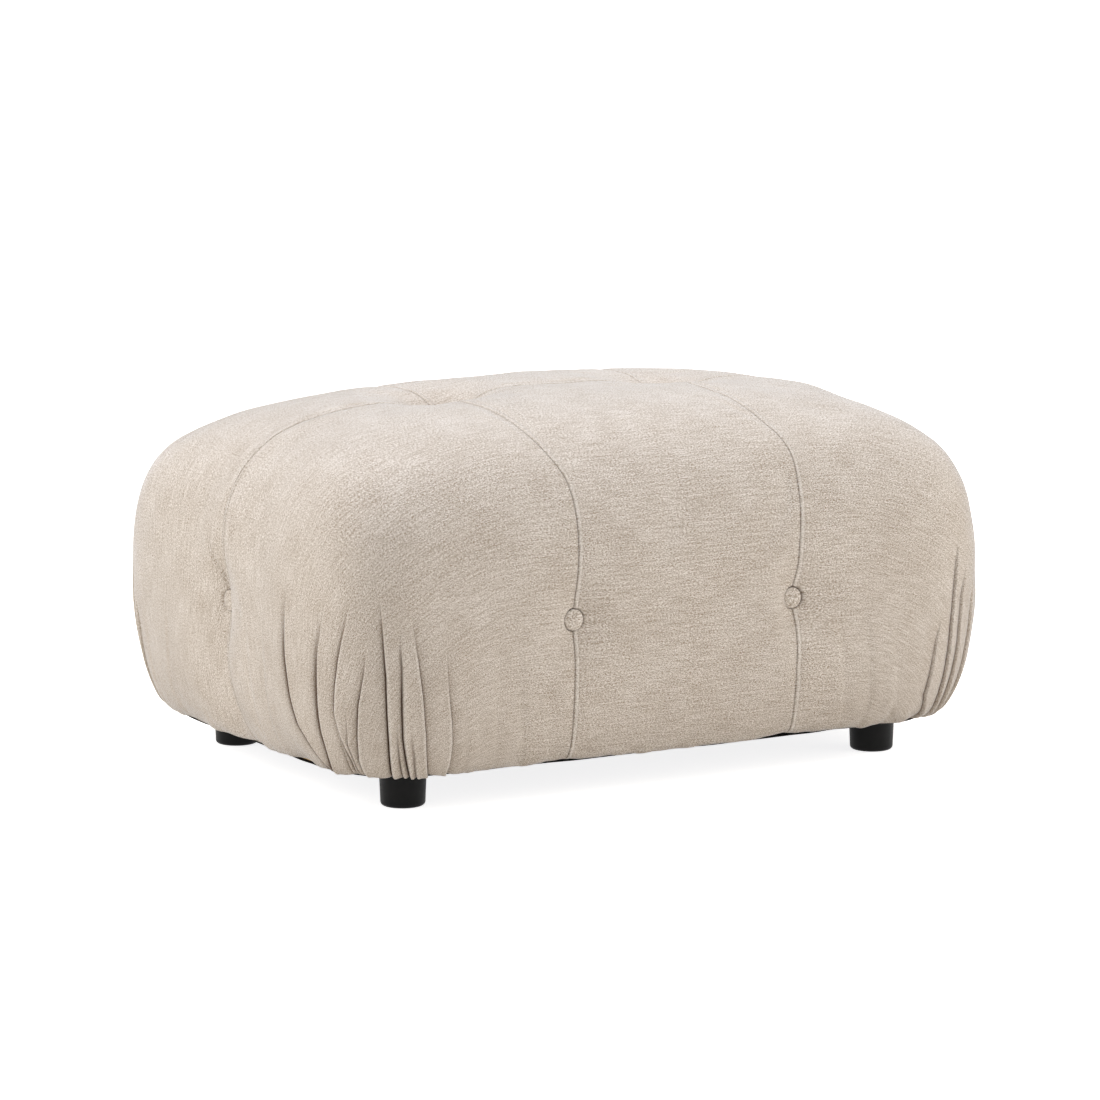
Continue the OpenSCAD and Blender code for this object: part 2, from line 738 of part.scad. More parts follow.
side_button(seam_x, true);  // button_front_right
side_button(-seam_x, false);  // button_back_left
side_button(seam_x, false);  // button_back_right
end_cover_button(false);  // button_left
end_cover_button(true);  // button_right
twines();
tie_washers();
tie_bars();
dust_cover();
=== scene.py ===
import json
import logging
import math
from dataclasses import dataclass, field, replace
from enum import Enum

import bpy
import numpy as np
from mathutils import Matrix, Vector


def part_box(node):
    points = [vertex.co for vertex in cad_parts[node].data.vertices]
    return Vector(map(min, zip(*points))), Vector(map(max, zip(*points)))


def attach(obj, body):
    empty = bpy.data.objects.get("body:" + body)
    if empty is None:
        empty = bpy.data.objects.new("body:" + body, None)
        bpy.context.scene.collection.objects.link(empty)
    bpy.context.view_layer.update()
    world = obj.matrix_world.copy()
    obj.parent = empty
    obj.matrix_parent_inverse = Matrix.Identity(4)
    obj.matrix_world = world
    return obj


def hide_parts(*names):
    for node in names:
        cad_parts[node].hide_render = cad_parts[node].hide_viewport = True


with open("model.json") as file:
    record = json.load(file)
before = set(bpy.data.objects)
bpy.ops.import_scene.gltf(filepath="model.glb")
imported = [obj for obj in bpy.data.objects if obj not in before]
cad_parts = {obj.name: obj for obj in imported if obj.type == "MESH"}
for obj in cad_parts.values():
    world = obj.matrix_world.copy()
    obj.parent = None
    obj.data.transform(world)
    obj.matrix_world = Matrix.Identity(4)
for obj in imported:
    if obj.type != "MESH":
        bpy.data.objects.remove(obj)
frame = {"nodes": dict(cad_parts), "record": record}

# An upholstered pouf: six crowned cover panels of heathered chenille, sewn together and
# gathered under at the corners, with covered buttons, round moulded feet and a dust cover.
# Shapes are worked out in millimetres and written to the meshes in metres.

LOG = logging.getLogger("pouf")
MM = 0.001
ROOT = "root"
HEM_Z = 43.0


# Colours and nodes


def hex_linear(code: str) -> tuple[float, float, float, float]:
    """Turns an sRGB hex colour such as "#c9bcaa" into linear RGBA."""
    parts = [int(code[i:i + 2], 16) / 255 for i in (1, 3, 5)]
    r, g, b = (c / 12.92 if c <= 0.04045 else ((c + 0.055) / 1.055) ** 2.4 for c in parts)
    return (r, g, b, 1.0)


def feed(tree: bpy.types.NodeTree, node: bpy.types.Node, settings: dict | None = None,
         links: dict | None = None) -> None:
    """Sets up a node.

    Args:
        tree: Node tree that holds the node.
        node: Node to set up.
        settings: Attribute names, or input names or numbers, with values or hex colours.
        links: Input names or numbers with the output socket that feeds each.
    """
    for name, value in (settings or {}).items():
        if isinstance(value, str) and value.startswith("#"):
            value = hex_linear(value)
        if isinstance(name, str) and hasattr(node, name):
            setattr(node, name, value)
        else:
            node.inputs[name].default_value = value
    for name, socket in (links or {}).items():
        tree.links.new(socket, node.inputs[name])


def add_node(tree: bpy.types.NodeTree, kind: str, settings: dict | None = None,
             links: dict | None = None) -> bpy.types.Node:
    """Adds a node of a type, with settings and links as feed() takes them."""
    made = tree.nodes.new(kind)
    feed(tree, made, settings, links)
    return made


def blend(tree: bpy.types.NodeTree, share: bpy.types.NodeSocket,
          first: str | bpy.types.NodeSocket, second: str) -> bpy.types.NodeSocket:
    """Mixes two colours.

    Args:
        tree: Node tree that takes the node.
        share: Output that gives the second colour's share.
        first: Hex colour, or the output that gives it.
        second: Hex colour.

    Returns:
        The mixed colour.
    """
    if isinstance(first, str):
        settings, links = {6: first}, {0: share}
    else:
        settings, links = {}, {0: share, 6: first}
    return add_node(tree, "ShaderNodeMix", {"data_type": "RGBA", **settings, 7: second},
                    links).outputs[2]


def new_material(name: str) -> tuple[bpy.types.Material, bpy.types.NodeTree, bpy.types.Node]:
    """Makes an empty node material, and gives it with its node tree and Principled shader."""
    material = bpy.data.materials.new(name)
    material.use_nodes = True
    tree = material.node_tree
    tree.nodes.clear()
    shader = add_node(tree, "ShaderNodeBsdfPrincipled")
    add_node(tree, "ShaderNodeOutputMaterial", links={"Surface": shader.outputs["BSDF"]})
    return material, tree, shader


class Grain(Enum):
    """Where a pattern takes its coordinates from."""

    CLOTH = "cloth"
    SOLID = "solid"


def grain_coordinates(tree: bpy.types.NodeTree, grain: Grain,
                      size_mm: tuple[float, float, float]) -> bpy.types.NodeSocket:
    """Gives coordinates in repeats.

    Args:
        tree: Node tree that takes the nodes.
        grain: Cloth coordinates, or the object's own.
        size_mm: Length of one repeat along the three axes.

    Returns:
        The vector output.
    """
    if grain is Grain.CLOTH:
        source = add_node(tree, "ShaderNodeUVMap", {"uv_map": "drape"}).outputs["UV"]
    else:
        source = add_node(tree, "ShaderNodeTexCoord").outputs["Object"]
    scale = tuple(1 / s / MM for s in size_mm)
    return add_node(tree, "ShaderNodeMapping", {"Scale": scale},
                    {"Vector": source}).outputs["Vector"]


def spread(tree: bpy.types.NodeTree, value: bpy.types.NodeSocket,
           **limits: float) -> bpy.types.NodeSocket:
    """Maps a value from one range to another, with limits such as from_min=0.3."""
    named = {key.replace("_", " ").title(): limit for key, limit in limits.items()}
    return add_node(tree, "ShaderNodeMapRange", named, {"Value": value}).outputs[0]


def raised(tree: bpy.types.NodeTree, height: bpy.types.NodeSocket, strength: float,
           deep_mm: float) -> bpy.types.NodeSocket:
    """Adds a bump of a strength and a depth in millimetres, and gives its normal."""
    return add_node(tree, "ShaderNodeBump", {"Strength": strength, "Distance": deep_mm * MM},
                    {"Height": height}).outputs["Normal"]


# Finishes


@dataclass(frozen=True)
class Pattern:
    """A texture node, with its settings and the output that is used."""

    kind: str
    settings: dict
    output: str = "Fac"

    def add(self, tree: bpy.types.NodeTree, place: bpy.types.NodeSocket
            ) -> bpy.types.NodeSocket:
        """Adds the texture at coordinates and gives its value."""
        return add_node(tree, f"ShaderNodeTex{self.kind}", self.settings,
                        {"Vector": place}).outputs[self.output]


def noise(scale: float, detail: float, **more: float) -> Pattern:
    """Describes noise with a scale, a number of finer layers and other settings."""
    return Pattern("Noise", {"Scale": scale, "Detail": detail, **more})


class Finish:
    """A material that is painted with nodes."""

    def paint(self, tree: bpy.types.NodeTree, shader: bpy.types.Node) -> None:
        """Adds the nodes of the finish and feeds the shader."""
        raise NotImplementedError

    def make(self, name: str) -> bpy.types.Material:
        """Makes the material."""
        material, tree, shader = new_material(name)
        self.paint(tree, shader)
        return material


@dataclass(frozen=True)
class Chenille(Finish):
    """Heathered chenille: short pile weft of mixed oatmeal yarns over a fine warp.

    The pile scatters light, so the cloth is matte with a soft pale rim, and the mixed
    yarns show as pale flecks and faint streaks along the weft.
    """

    grain: Grain = Grain.CLOTH
    shade: str = "#9b8975"
    body: str = "#c7baac"
    pale: str = "#eee6de"
    streak_mm: tuple[float, float] = (34.0, 2.2)
    yarn_mm: tuple[float, float] = (2.6, 1.2)
    fleck_mm: tuple[float, float] = (2.2, 1.2)
    pile_mm: tuple[float, float] = (1.15, 0.9)
    cloud_mm: tuple[float, float] = (60.0, 60.0)
    streak_weight: float = 0.38
    pile_weight: float = 1.1
    cloud_weight: float = 0.12
    # colours of the painted shade in creases and of the painted highlight on lips and allowances
    painted_shade_colour: str = "#462c14"
    painted_highlight: str = "#f3ede6"

    def noise(self, tree: bpy.types.NodeTree, size: tuple[float, float],
              detail: float, rough: float) -> bpy.types.NodeSocket:
        """Adds noise whose lumps have a size in millimetres along weft and warp.

        Args:
            tree: Node tree that takes the nodes.
            size: Lump size along the weft and along the warp.
            detail: Number of finer layers.
            rough: Strength of the finer layers.

        Returns:
            The noise value.
        """
        place = grain_coordinates(tree, self.grain, (size[0], size[1], size[1]))
        return noise(1.0, detail, Roughness=rough).add(tree, place)

    def paint(self, tree: bpy.types.NodeTree, shader: bpy.types.Node) -> None:
        """Mixes the yarns, paints shade into creases and seams and highlights onto lips and
        allowances, and raises the pile.
        """
        yarn = self.noise(tree, self.yarn_mm, 2.0, 0.6)
        streak = self.noise(tree, self.streak_mm, 2.0, 0.55)
        pile = self.noise(tree, self.pile_mm, 1.0, 0.5)
        fleck = self.noise(tree, self.fleck_mm, 0.0, 0.5)
        cloud = self.noise(tree, self.cloud_mm, 2.0, 0.5)
        # the weights add up to 2.6, so that the sum's middle value is 1.3
        mixed = yarn
        for value, weight in ((streak, self.streak_weight), (pile, self.pile_weight),
                              (cloud, self.cloud_weight)):
            mixed = add_node(tree, "ShaderNodeMath",
                             {"operation": "MULTIPLY_ADD", 1: weight},
                             {0: value, 2: mixed}).outputs[0]
        tone = spread(tree, mixed, from_min=1.08, from_max=1.52)
        colour = add_node(tree, "ShaderNodeValToRGB", links={"Fac": tone})
        ramp = colour.color_ramp
        ramp.elements[0].position, ramp.elements[0].color = 0.05, hex_linear(self.shade)
        ramp.elements[1].position, ramp.elements[1].color = 0.95, hex_linear(self.pale)
        middle = ramp.elements.new(0.5)
        middle.color = hex_linear(self.body)
        pick = spread(tree, fleck, from_min=0.60, from_max=0.74, to_max=0.55)
        flecked = blend(tree, pick, colour.outputs["Color"], self.pale)
        relief = add_node(tree, "ShaderNodeMath", {"operation": "ADD"},
                          {0: yarn, 1: pile}).outputs[0]
        # above zero the attribute is painted shade in creases, seams and button rims, below zero a
        # painted highlight on lips and allowances
        painted_shade_and_highlight = add_node(tree, "ShaderNodeAttribute",
                          {"attribute_name": "painted_shade_and_highlight"}).outputs["Fac"]
        painted_highlight = add_node(tree, "ShaderNodeMath", {"operation": "MULTIPLY", 1: -1.0},
                        {0: painted_shade_and_highlight}).outputs[0]
        with_painted_highlight = blend(tree, painted_highlight, flecked, self.painted_highlight)
        # the sheen is taken out where shade is painted, so that the painted shade stays dark
        fuzz = spread(tree, tone, to_min=0.4, to_max=1.3)
        sheen_outside_painted_shade = add_node(tree, "ShaderNodeMath", {"operation": "SUBTRACT", "use_clamp": True},
                        {0: fuzz, 1: painted_shade_and_highlight}).outputs[0]
        feed(tree, shader,
             {"Roughness": 0.9, "Specular IOR Level": 0.25, "Sheen Roughness": 0.28,
              "Sheen Tint": "#f7f9fd"},
             {"Sheen Weight": sheen_outside_painted_shade, "Base Color": blend(tree, painted_shade_and_highlight, with_painted_highlight, self.painted_shade_colour),
              "Normal": raised(tree, relief, 0.5, 0.9)})


@dataclass(frozen=True)
class MouldedPlastic(Finish):
    """Moulded polypropylene in black: satin, with a fine spark grain and faint rubs."""

    base: str = "#080808"
    rub: str = "#232221"
    grain_mm: tuple[float, float, float] = (0.7, 0.7, 0.7)
    rub_mm: tuple[float, float, float] = (9.0, 9.0, 2.2)

    def paint(self, tree: bpy.types.NodeTree, shader: bpy.types.Node) -> None:
        """Mixes the rubs in and adds the spark grain."""
        place = grain_coordinates(tree, Grain.SOLID, self.rub_mm)
        rub = noise(1.0, 5.0, Roughness=0.7).add(tree, place)
        seen = spread(tree, rub, from_min=0.62, from_max=0.8, to_max=0.5)
        fine = grain_coordinates(tree, Grain.SOLID, self.grain_mm)
        spark = noise(1.0, 2.0).add(tree, fine)
        rough = spread(tree, rub, from_min=0.3, from_max=0.7, to_min=0.4, to_max=0.54)
        feed(tree, shader, {"IOR": 1.49, "Specular IOR Level": 0.16},
             {"Base Color": blend(tree, seen, self.base, self.rub), "Roughness": rough,
              "Normal": raised(tree, spark, 0.3, 0.12)})


@dataclass(frozen=True)
class Patterned(Finish):
    """Two colours mixed by one pattern, with the relief of the same or another pattern.

    The bump is its strength and its depth in millimetres, and none if both are zero. The
    roughness follows the pattern between two values, or stays at one value given twice.
    """

    low: str
    high: str
    size_mm: tuple[float, float, float]
    tones: Pattern
    relief: Pattern | None = None
    bump: tuple[float, float] = (0.0, 0.0)
    rough: tuple[float, float] = (0.9, 0.9)
    metallic: float = 0.0

    def paint(self, tree: bpy.types.NodeTree, shader: bpy.types.Node) -> None:
        """Mixes the two colours and adds the relief."""
        place = grain_coordinates(tree, Grain.SOLID, self.size_mm)
        tone = self.tones.add(tree, place)
        feed(tree, shader, {"Roughness": self.rough[0], "Metallic": self.metallic},
             {"Base Color": blend(tree, tone, self.low, self.high)})
        if self.bump[0]:
            height = self.relief.add(tree, place) if self.relief else tone
            feed(tree, shader, links={"Normal": raised(tree, height, *self.bump)})
        if self.rough[0] < self.rough[1]:
            rough = spread(tree, tone, to_min=self.rough[0], to_max=self.rough[1])
            feed(tree, shader, links={"Roughness": rough})


def timber(early: str, late: str, line_mm: float, along_mm: float, rough: float) -> Patterned:
    """Describes plywood or planed softwood, with growth lines drawn along the board."""
    return Patterned(early, late, (along_mm, line_mm, line_mm),
                     noise(1.0, 5.0, Distortion=0.6), bump=(0.25, 0.2), rough=(rough, rough))


def plain_weave(light: str, dark: str, thread_mm: float) -> Patterned:
    """Describes webbing, hessian or twine, with over-and-under threads at a set spacing."""
    return Patterned(dark, light, (thread_mm,) * 3, noise(2.0, 3.0),
                     Pattern("Checker", {"Scale": 1.0}), (0.4, 0.3), (0.88, 0.88))


# Spun-bonded polypropylene lining: thin black felt of pressed fibres with a dot grid
SPUN_LINING = Patterned("#141414", "#2b2a2a", (2.4,) * 3, noise(1.3, 4.0),
                        Pattern("Voronoi", {"Scale": 1.0, "Randomness": 0.15}, "Distance"),
                        (0.4, 0.2), (0.85, 0.85))
# Open-cell foam as sawn: matte, with small round cells
CUT_FOAM = Patterned("#d3c48c", "#f0e4b8", (1.6,) * 3,
                     Pattern("Voronoi", {"Scale": 1.0}, "Distance"), None, (0.6, 0.6),
                     (0.95, 0.95))
# Zinc-plated steel hardware: dull silver with a faint cloudy passivation
ZINC_STEEL = Patterned("#9a9da1", "#c3c6ca", (4.0,) * 3, noise(1.0, 3.0), rough=(0.3, 0.5),
                       metallic=1.0)
# Finishes of the frame, foam, webbing and hardware within, by the solids' material
INNER_FINISHES = {
    "foam": ("foam_open_cell", CUT_FOAM),
    "plywood": ("plywood_birch", timber("#dcc193", "#b98f5c", 7.0, 160.0, 0.62)),
    "softwood": ("softwood_planed", timber("#e0c498", "#c39a62", 9.0, 220.0, 0.68)),
    "webbing": ("webbing_elastic", plain_weave("#1c1c1e", "#0f0f10", 1.4)),
    "deck_cloth": ("hessian_jute", plain_weave("#b79f78", "#8d774f", 1.8)),
    "twine": ("twine_waxed", plain_weave("#e8e0cf", "#c9bfa8", 0.9)),
    "zinc_steel": ("steel_zinc_plated", ZINC_STEEL),
}


# The seat's surface


def part_of(value: np.ndarray, whole: float | np.ndarray) -> np.ndarray:
    """Gives a value's share of a whole, kept between zero and one."""
    return np.clip(value / whole, 0, 1)


def smooth(share: np.ndarray) -> np.ndarray:
    """Eases a share so that it starts and ends level."""
    return share * share * (3 - 2 * share)


def bell(away: np.ndarray, width: float | np.ndarray) -> np.ndarray:
    """Gives one at no distance, and less the farther away."""
    return np.exp(-(away / width) ** 2)


def arc_length(x: np.ndarray, y: np.ndarray) -> np.ndarray:
    """Gives the length along a line up to each of its points."""
    return np.concatenate([[0], np.cumsum(np.hypot(np.diff(x), np.diff(y)))])


@dataclass(frozen=True)
class SeatShape:
    """The seat's smooth outer form, in millimetres, for the quarter with x > 0 and y < 0."""

    half_l: float = 442.0
    half_w: float = 312.5
    side_z: float = 187.0
    shoulder_z: float = 394.0
    crown_h: float = 33.5
    edge_reach: float = 243.0
    edge_exp: float = 3.55
    corner_exp: float = 4.17
    tuck_in: float = 39.0
    tuck_exp: float = 1.84
    draw_long: float = 5.4
    draw_end: float = 10.3
    seam_x: float = 146.5
    hem_z: float = HEM_Z
    button_z: float = 207.0
    board: tuple[float, float, float] = (388.0, 258.5, 110.0)
    board_top: float = 63.0
    hem_turn_deg: float = 35.0
    samples: int = 4000

    @property
    def flat_x(self) -> float:
        """Half length of the flat rectangle inside the rounded edge."""
        return self.half_l - self.edge_reach

    @property
    def flat_y(self) -> float:
        """Half width of the flat rectangle inside the rounded edge."""
        return self.half_w - self.edge_reach

    def rise(self, z: np.ndarray) -> np.ndarray:
        """Gives the share of the way from the widest line up to the shoulder."""
        return part_of(z - self.side_z, self.shoulder_z - self.side_z)

    def fall(self, z: np.ndarray) -> np.ndarray:
        """Gives the share of the way from the widest line down to the hem."""
        return part_of(self.side_z - z, self.side_z - self.hem_z)

    def reach(self, z: np.ndarray) -> np.ndarray:
        """Gives how far the section stands out from the flat rectangle at height z."""
        rise, fall = self.rise(z), self.fall(z)
        upper = self.edge_reach * (1 - rise ** self.edge_exp) ** (1 / self.edge_exp)
        tuck = 1 - np.clip(1 - fall ** self.tuck_exp, 0, 1) ** (1 / self.tuck_exp)
        return np.where(z >= self.side_z, upper, self.edge_reach - self.tuck_in * tuck)

    def crown(self, x: np.ndarray, y: np.ndarray, z: np.ndarray) -> np.ndarray:
        """Gives the crown's rise at a point of the section."""
        return self.crown_h * self.rise(z) * (1 - (x / self.half_l) ** 2) * (
            1 - (y / self.half_w) ** 2)

    def section(self) -> tuple[np.ndarray, np.ndarray, np.ndarray]:
        """Samples the section from the top down to the hem.

        Returns:
            Arc length, reach and height of each sample.
        """
        a = np.linspace(0, math.pi / 2, self.samples)
        r = self.edge_reach * np.sin(a) ** (2 / self.edge_exp)
        z = self.side_z + (self.shoulder_z - self.side_z) * np.cos(a) ** (2 / self.edge_exp)
        b = a[1:]
        low_r = self.edge_reach - self.tuck_in * (1 - np.cos(b) ** (2 / self.tuck_exp))
        low_z = self.side_z - (self.side_z - self.hem_z) * np.sin(b) ** (2 / self.tuck_exp)
        r, z = np.concatenate([r, low_r]), np.concatenate([z, low_z])
        return arc_length(r, z), r, z

    def corner_reach(self, s: np.ndarray, c: np.ndarray) -> np.ndarray:
        """Gives the rounded corner's reach, from the sine and cosine of the angle round it."""
        return (s ** self.corner_exp + c ** self.corner_exp) ** (-1 / self.corner_exp)

    def corner_table(self) -> tuple[np.ndarray, np.ndarray]:
        """Gives arc length against angle round the corner's widest line."""
        a = np.linspace(0, math.pi / 2, self.samples)
        f = self.corner_reach(np.sin(a), np.cos(a))
        return arc_length(self.edge_reach * f * np.sin(a), self.edge_reach * f * np.cos(a)), a

    @property
    def long_part(self) -> float:
        """Length along the widest line from the cross seam to the corner's start."""
        return self.flat_x - self.seam_x

    @property
    def corner_part(self) -> float:
        """Length along the widest line round one corner."""
        return float(self.corner_table()[0][-1])

    @property
    def round_length(self) -> float:
        """Length along the widest line from the cross seam to the long seam."""
        return self.long_part + self.corner_part + self.flat_y

    def columns(self, t: np.ndarray) -> dict[str, np.ndarray]:
        """Gives the upright lines of the surface at distances t round the widest line.

        Args:
            t: Distance from the cross seam, in millimetres.

        Returns:
            Start point, run per unit of reach, plan normal and angle round the corner.
        """
        arc, angle = self.corner_table()
        start, end = self.long_part, self.long_part + self.corner_part
        a = np.interp(t - start, arc, angle)
        s, c = np.sin(a), np.cos(a)
        f = self.corner_reach(s, c)
        nx, ny = s ** (self.corner_exp - 1), -c ** (self.corner_exp - 1)
        size = np.hypot(nx, ny)
        return {
            "x": np.where(t < start, self.seam_x + t, self.flat_x),
            "y": np.where(t > end, t - end - self.flat_y, -self.flat_y),
            "dx": f * s, "dy": -f * c, "nx": nx / size, "ny": ny / size,
            "angle": a,
        }

    @staticmethod
    def fanned(angle: np.ndarray, reach: np.ndarray, run: np.ndarray
               ) -> tuple[np.ndarray, np.ndarray]:
        """Gives the direction of the cloth, whose spare width crowds away from a corner's ends.

        Args:
            angle: Angle round the corner, zero to a quarter turn.
            reach: How far each row reaches out.
            run: Length of cloth down to each row.

        Returns:
            The direction's two shares in the plane of the cloth.
        """
        part = angle / (math.pi / 2)
        spare = 1 - np.clip(reach / run, 0, 1)
        turn = angle + math.pi / 2 * spare * (part / 4 - ((2 * part - 1) ** 5 + 1) / 8)
        return np.sin(turn), -np.cos(turn)

    def clear_of_board(self, at: np.ndarray, gap: float) -> np.ndarray:
        """Gives the move that takes points in plan clear of the base board's edge.

        Args:
            at: Points in plan, in the worked-out quarter. Those well inside the board's round
                corner belong to the turned hem and stay.
            gap: Distance that the cloth keeps from the edge.

        Returns:
            The outward move, zero for points that are clear.
        """
        half_x, half_y, corner = self.board
        off = np.stack([at[..., 0] - half_x + corner, -at[..., 1] - half_y + corner], -1)
        out = np.maximum(off, 0)
        size = np.linalg.norm(out, axis=-1, keepdims=True)
        short = np.clip(corner + gap - size, 0, None)
        return short * out / np.maximum(size, 1e-6) * [1.0, -1.0] * (size > 60)

    def slope(self, r: np.ndarray, z: np.ndarray) -> tuple[np.ndarray, np.ndarray]:
        """Gives the outward and upward shares of the section's normal."""
        out = (r / self.edge_reach) ** (self.edge_exp - 1) / self.edge_reach
        up = self.rise(z) ** (self.edge_exp - 1) / (self.shoulder_z - self.side_z)
        size = np.hypot(out, up)
        turn = math.radians(self.hem_turn_deg) * self.fall(z) ** 3
        low = z < self.side_z
        return (np.where(low, np.cos(turn), out / size),
                np.where(low, -np.sin(turn), up / size))

    def place(self, col: dict[str, np.ndarray], r: np.ndarray, z: np.ndarray) -> np.ndarray:
        """Places points of the smooth surface.

        Args:
            col: Upright lines, from columns().
            r: Reach of each point.
            z: Height of each point on the section.

        Returns:
            Points, with the last axis x, y, z.
        """
        x0, y0 = col["x"] + r * col["dx"], col["y"] + r * col["dy"]
        f = r / self.edge_reach
        x = x0 - self.draw_end * f * (1 - (y0 / self.half_w) ** 2) * np.abs(col["nx"])
        y = y0 + self.draw_long * f * (1 - (x0 / self.half_l) ** 2) * np.abs(col["ny"])
        return np.stack([x, y, z + self.crown(x, y, z)], -1)


@dataclass(frozen=True)
class Fold:
    """One gather of the cover, as a tuck that runs down to the hem.

    The path gives distance round the widest line against height. The tuck opens from
    nothing at its top. On one side the cloth slopes softly into it; on the other a lip
    stands over it. A flipped fold has its lip on the far side.
    """

    path: tuple[tuple[float, float], ...]
    top: float
    depth: float
    soft: float = 4.6
    steep: float = 1.5
    lip: float = 1.5
    flip: bool = False
    bottom: float = 0.0
    # seen, thin, line and haze set the painted shade along the tuck, glint the painted highlight on
    # its lip
    seen: float = 0.6
    thin: float = 0.9
    line: float = 1.3
    haze: float = 0.1
    glint: float = 0.28
    over: float = 1.2

    OPENS_OVER = 42.0
    CLOSES_OVER = 25.0
    DARKENS_OVER = 95.0
    ANCHOR_Z = 90.0

    @property
    def creased(self) -> bool:
        """True for a gather sharp enough to need columns of its own."""
        return self.bottom < HEM_Z and self.line > 0

    @property
    def anchor(self) -> float:
        """The tuck's distance round the widest line low on the side, where it gets a column."""
        return float(self.centre(np.array([self.ANCHOR_Z]))[0])

    def centre(self, z: np.ndarray) -> np.ndarray:
        """Gives the tuck's distance round the widest line at each height."""
        points = sorted(self.path, key=lambda p: p[1])
        return np.interp(z, [p[1] for p in points], [p[0] for p in points])

    def strength(self, z: np.ndarray) -> np.ndarray:
        """Gives the share of full depth at each height."""
        opened = smooth(part_of(self.top - z, self.OPENS_OVER))
        fall = part_of(self.top - z, max(self.top - 55.0, 40.0))
        close = part_of(z - self.bottom, self.CLOSES_OVER) if self.bottom > HEM_Z else 1.0
        return (0.55 * opened + 0.45 * fall) * close

    @property
    def sign(self) -> float:
        """One, or minus one for a flipped fold."""
        return -1.0 if self.flip else 1.0

    def across(self, t: np.ndarray, z: np.ndarray) -> np.ndarray:
        """Gives the distance from the tuck, positive on its soft side."""
        return (t - self.centre(z)) * self.sign

    def dip(self, t: np.ndarray, z: np.ndarray) -> np.ndarray:
        """Gives the depth of the tuck, less its lip, at each point."""
        q = self.across(t, z)
        slope = np.exp(-np.abs(q) / self.soft)
        wall = np.clip(1 + q / self.steep, 0, 1) ** 1.3
        bank = self.lip * (bell(q + 3.0, 3.4) + 0.4 * bell(q + 9, 8))
        return self.strength(z) * (self.depth * np.where(q > 0, slope, wall) - bank)

    def shade(self, t: np.ndarray, z: np.ndarray) -> np.ndarray:
        """Gives the tuck's painted dark line and soft painted shade, and below zero a painted
        highlight on the lip beside it.
        """
        q = self.across(t, z)
        past = np.maximum(q - self.seen, 0)
        line = self.line * np.exp(-np.where(q > 0, past, -2 * q) / self.thin)
        haze = np.where(q > 0, self.haze * np.exp(-past / 6.0), 0)
        glint = self.glint * bell(q + 2.4, 1.3)
        begun = smooth(part_of(self.top - z, self.DARKENS_OVER))
        amount = np.sqrt(self.strength(z)) * begun * min(1.0, self.depth / 6.0)
        return (np.minimum(line + haze, 1) - glint) * amount

    def lean(self, t: np.ndarray, z: np.ndarray) -> np.ndarray:
        """Gives how far the lip leans over the tuck, round the widest line."""
        over = min(self.over, 0.12 * self.depth) * bell(self.across(t, z) + 2.0, 1.7)
        return self.strength(z) * over * self.sign


def soft_mark(*path: tuple[float, float], depth: float = 1.4, flip: bool = False) -> Fold:
    """Makes a soft hollow of the cloth that has no crease.

    Args:
        path: Distance round the widest line against height, from the top down.
        depth: Depth of the hollow, in millimetres.
        flip: True where the cloth slopes in from the other side.

    Returns:
        The fold.
    """
    return Fold(path, path[0][1] + 22, depth, soft=11, steep=8, lip=0.6, flip=flip, line=0,
                haze=0, glint=0, over=0)


# Gathers of the corner that the photograph shows, from the end face round to the long face
NEAR_CORNER = (
    soft_mark((484, 196), (484, 129), (481, 71), depth=1.0),
    soft_mark((445, 180), (445, 123), (447, 71), depth=1.3),
    Fold(((391.5, 243), (391, 200), (390, 171), (384, 129), (375, 96), (355.5, 72), (334, 50)),
         256, 6.0, soft=6.5, seen=4.6, thin=2.2, line=1.8, haze=0.42, over=0.0),
    Fold(((319, 228), (325.5, 190), (328.5, 151), (330, 124), (330, 95), (324, 59)), 240, 5.6,
         soft=6.0, seen=3.6, thin=1.9, line=1.7, haze=0.36, over=0.0),
    Fold(((290, 238), (300, 180), (309, 130), (306, 100), (296, 62), (292, 43)), 108, 4.0,
         soft=3.0, lip=0.7, seen=1.8, thin=0.7),
    Fold(((279, 238), (286.5, 210), (294, 180), (300, 150), (304.0, 118), (299, 93),
          (288, 62), (284, 43)), 246, 7.5, soft=5.0, seen=2.6),
    Fold(((268, 238), (276, 200), (285, 150), (286, 129), (289.5, 85), (279, 43)), 136, 4.0,
         soft=3.5, lip=0.8, seen=1.4, thin=0.7),
    Fold(((258, 189), (262.5, 162), (270, 130), (274.5, 95), (276.5, 66), (272, 45)), 200, 6.5,
         soft=4.4, seen=1.4),
    Fold(((241.5, 240), (238.5, 204), (235.5, 162), (235.5, 120), (235.5, 84), (237, 46)),
         252, 6.4, soft=3.4, lip=1.9, seen=0.8, thin=0.9, line=1.6),
    Fold(((226, 204), (225, 105), (223.5, 45)), 116, 4.2, soft=2.8, lip=0.7, thin=0.7),
    Fold(((219.5, 204), (217, 171), (217.5, 130), (217.5, 90), (214.5, 50)), 218, 6.4,
         soft=3.2, lip=1.7, seen=0.7, thin=0.85, line=1.5),
    Fold(((214, 223), (210, 150), (209, 99), (205.5, 72), (206, 43)), 106, 4.0, soft=3.0,
         lip=0.7, thin=0.7),
    Fold(((206, 223), (198, 175), (193.5, 138), (190.5, 95), (190.5, 52)), 236, 5.5,
         soft=5.5, flip=True, thin=0.8, line=0.9),
    Fold(((166, 190), (163.5, 148), (159, 109), (157.5, 82), (160.5, 58), (165, 43)), 196, 6.0,
         soft=5.5, flip=True, thin=0.8, line=1.0),
    soft_mark((142, 132), (138, 79), (138, 46), depth=1.2),
    soft_mark((105, 195), (102, 150), (102, 93), (97, 47), depth=1.7, flip=True),
    soft_mark((76, 181), (70, 124), (57, 46), depth=1.5),
    soft_mark((45, 166), (36, 109), (25, 46), depth=1.1, flip=True),
)
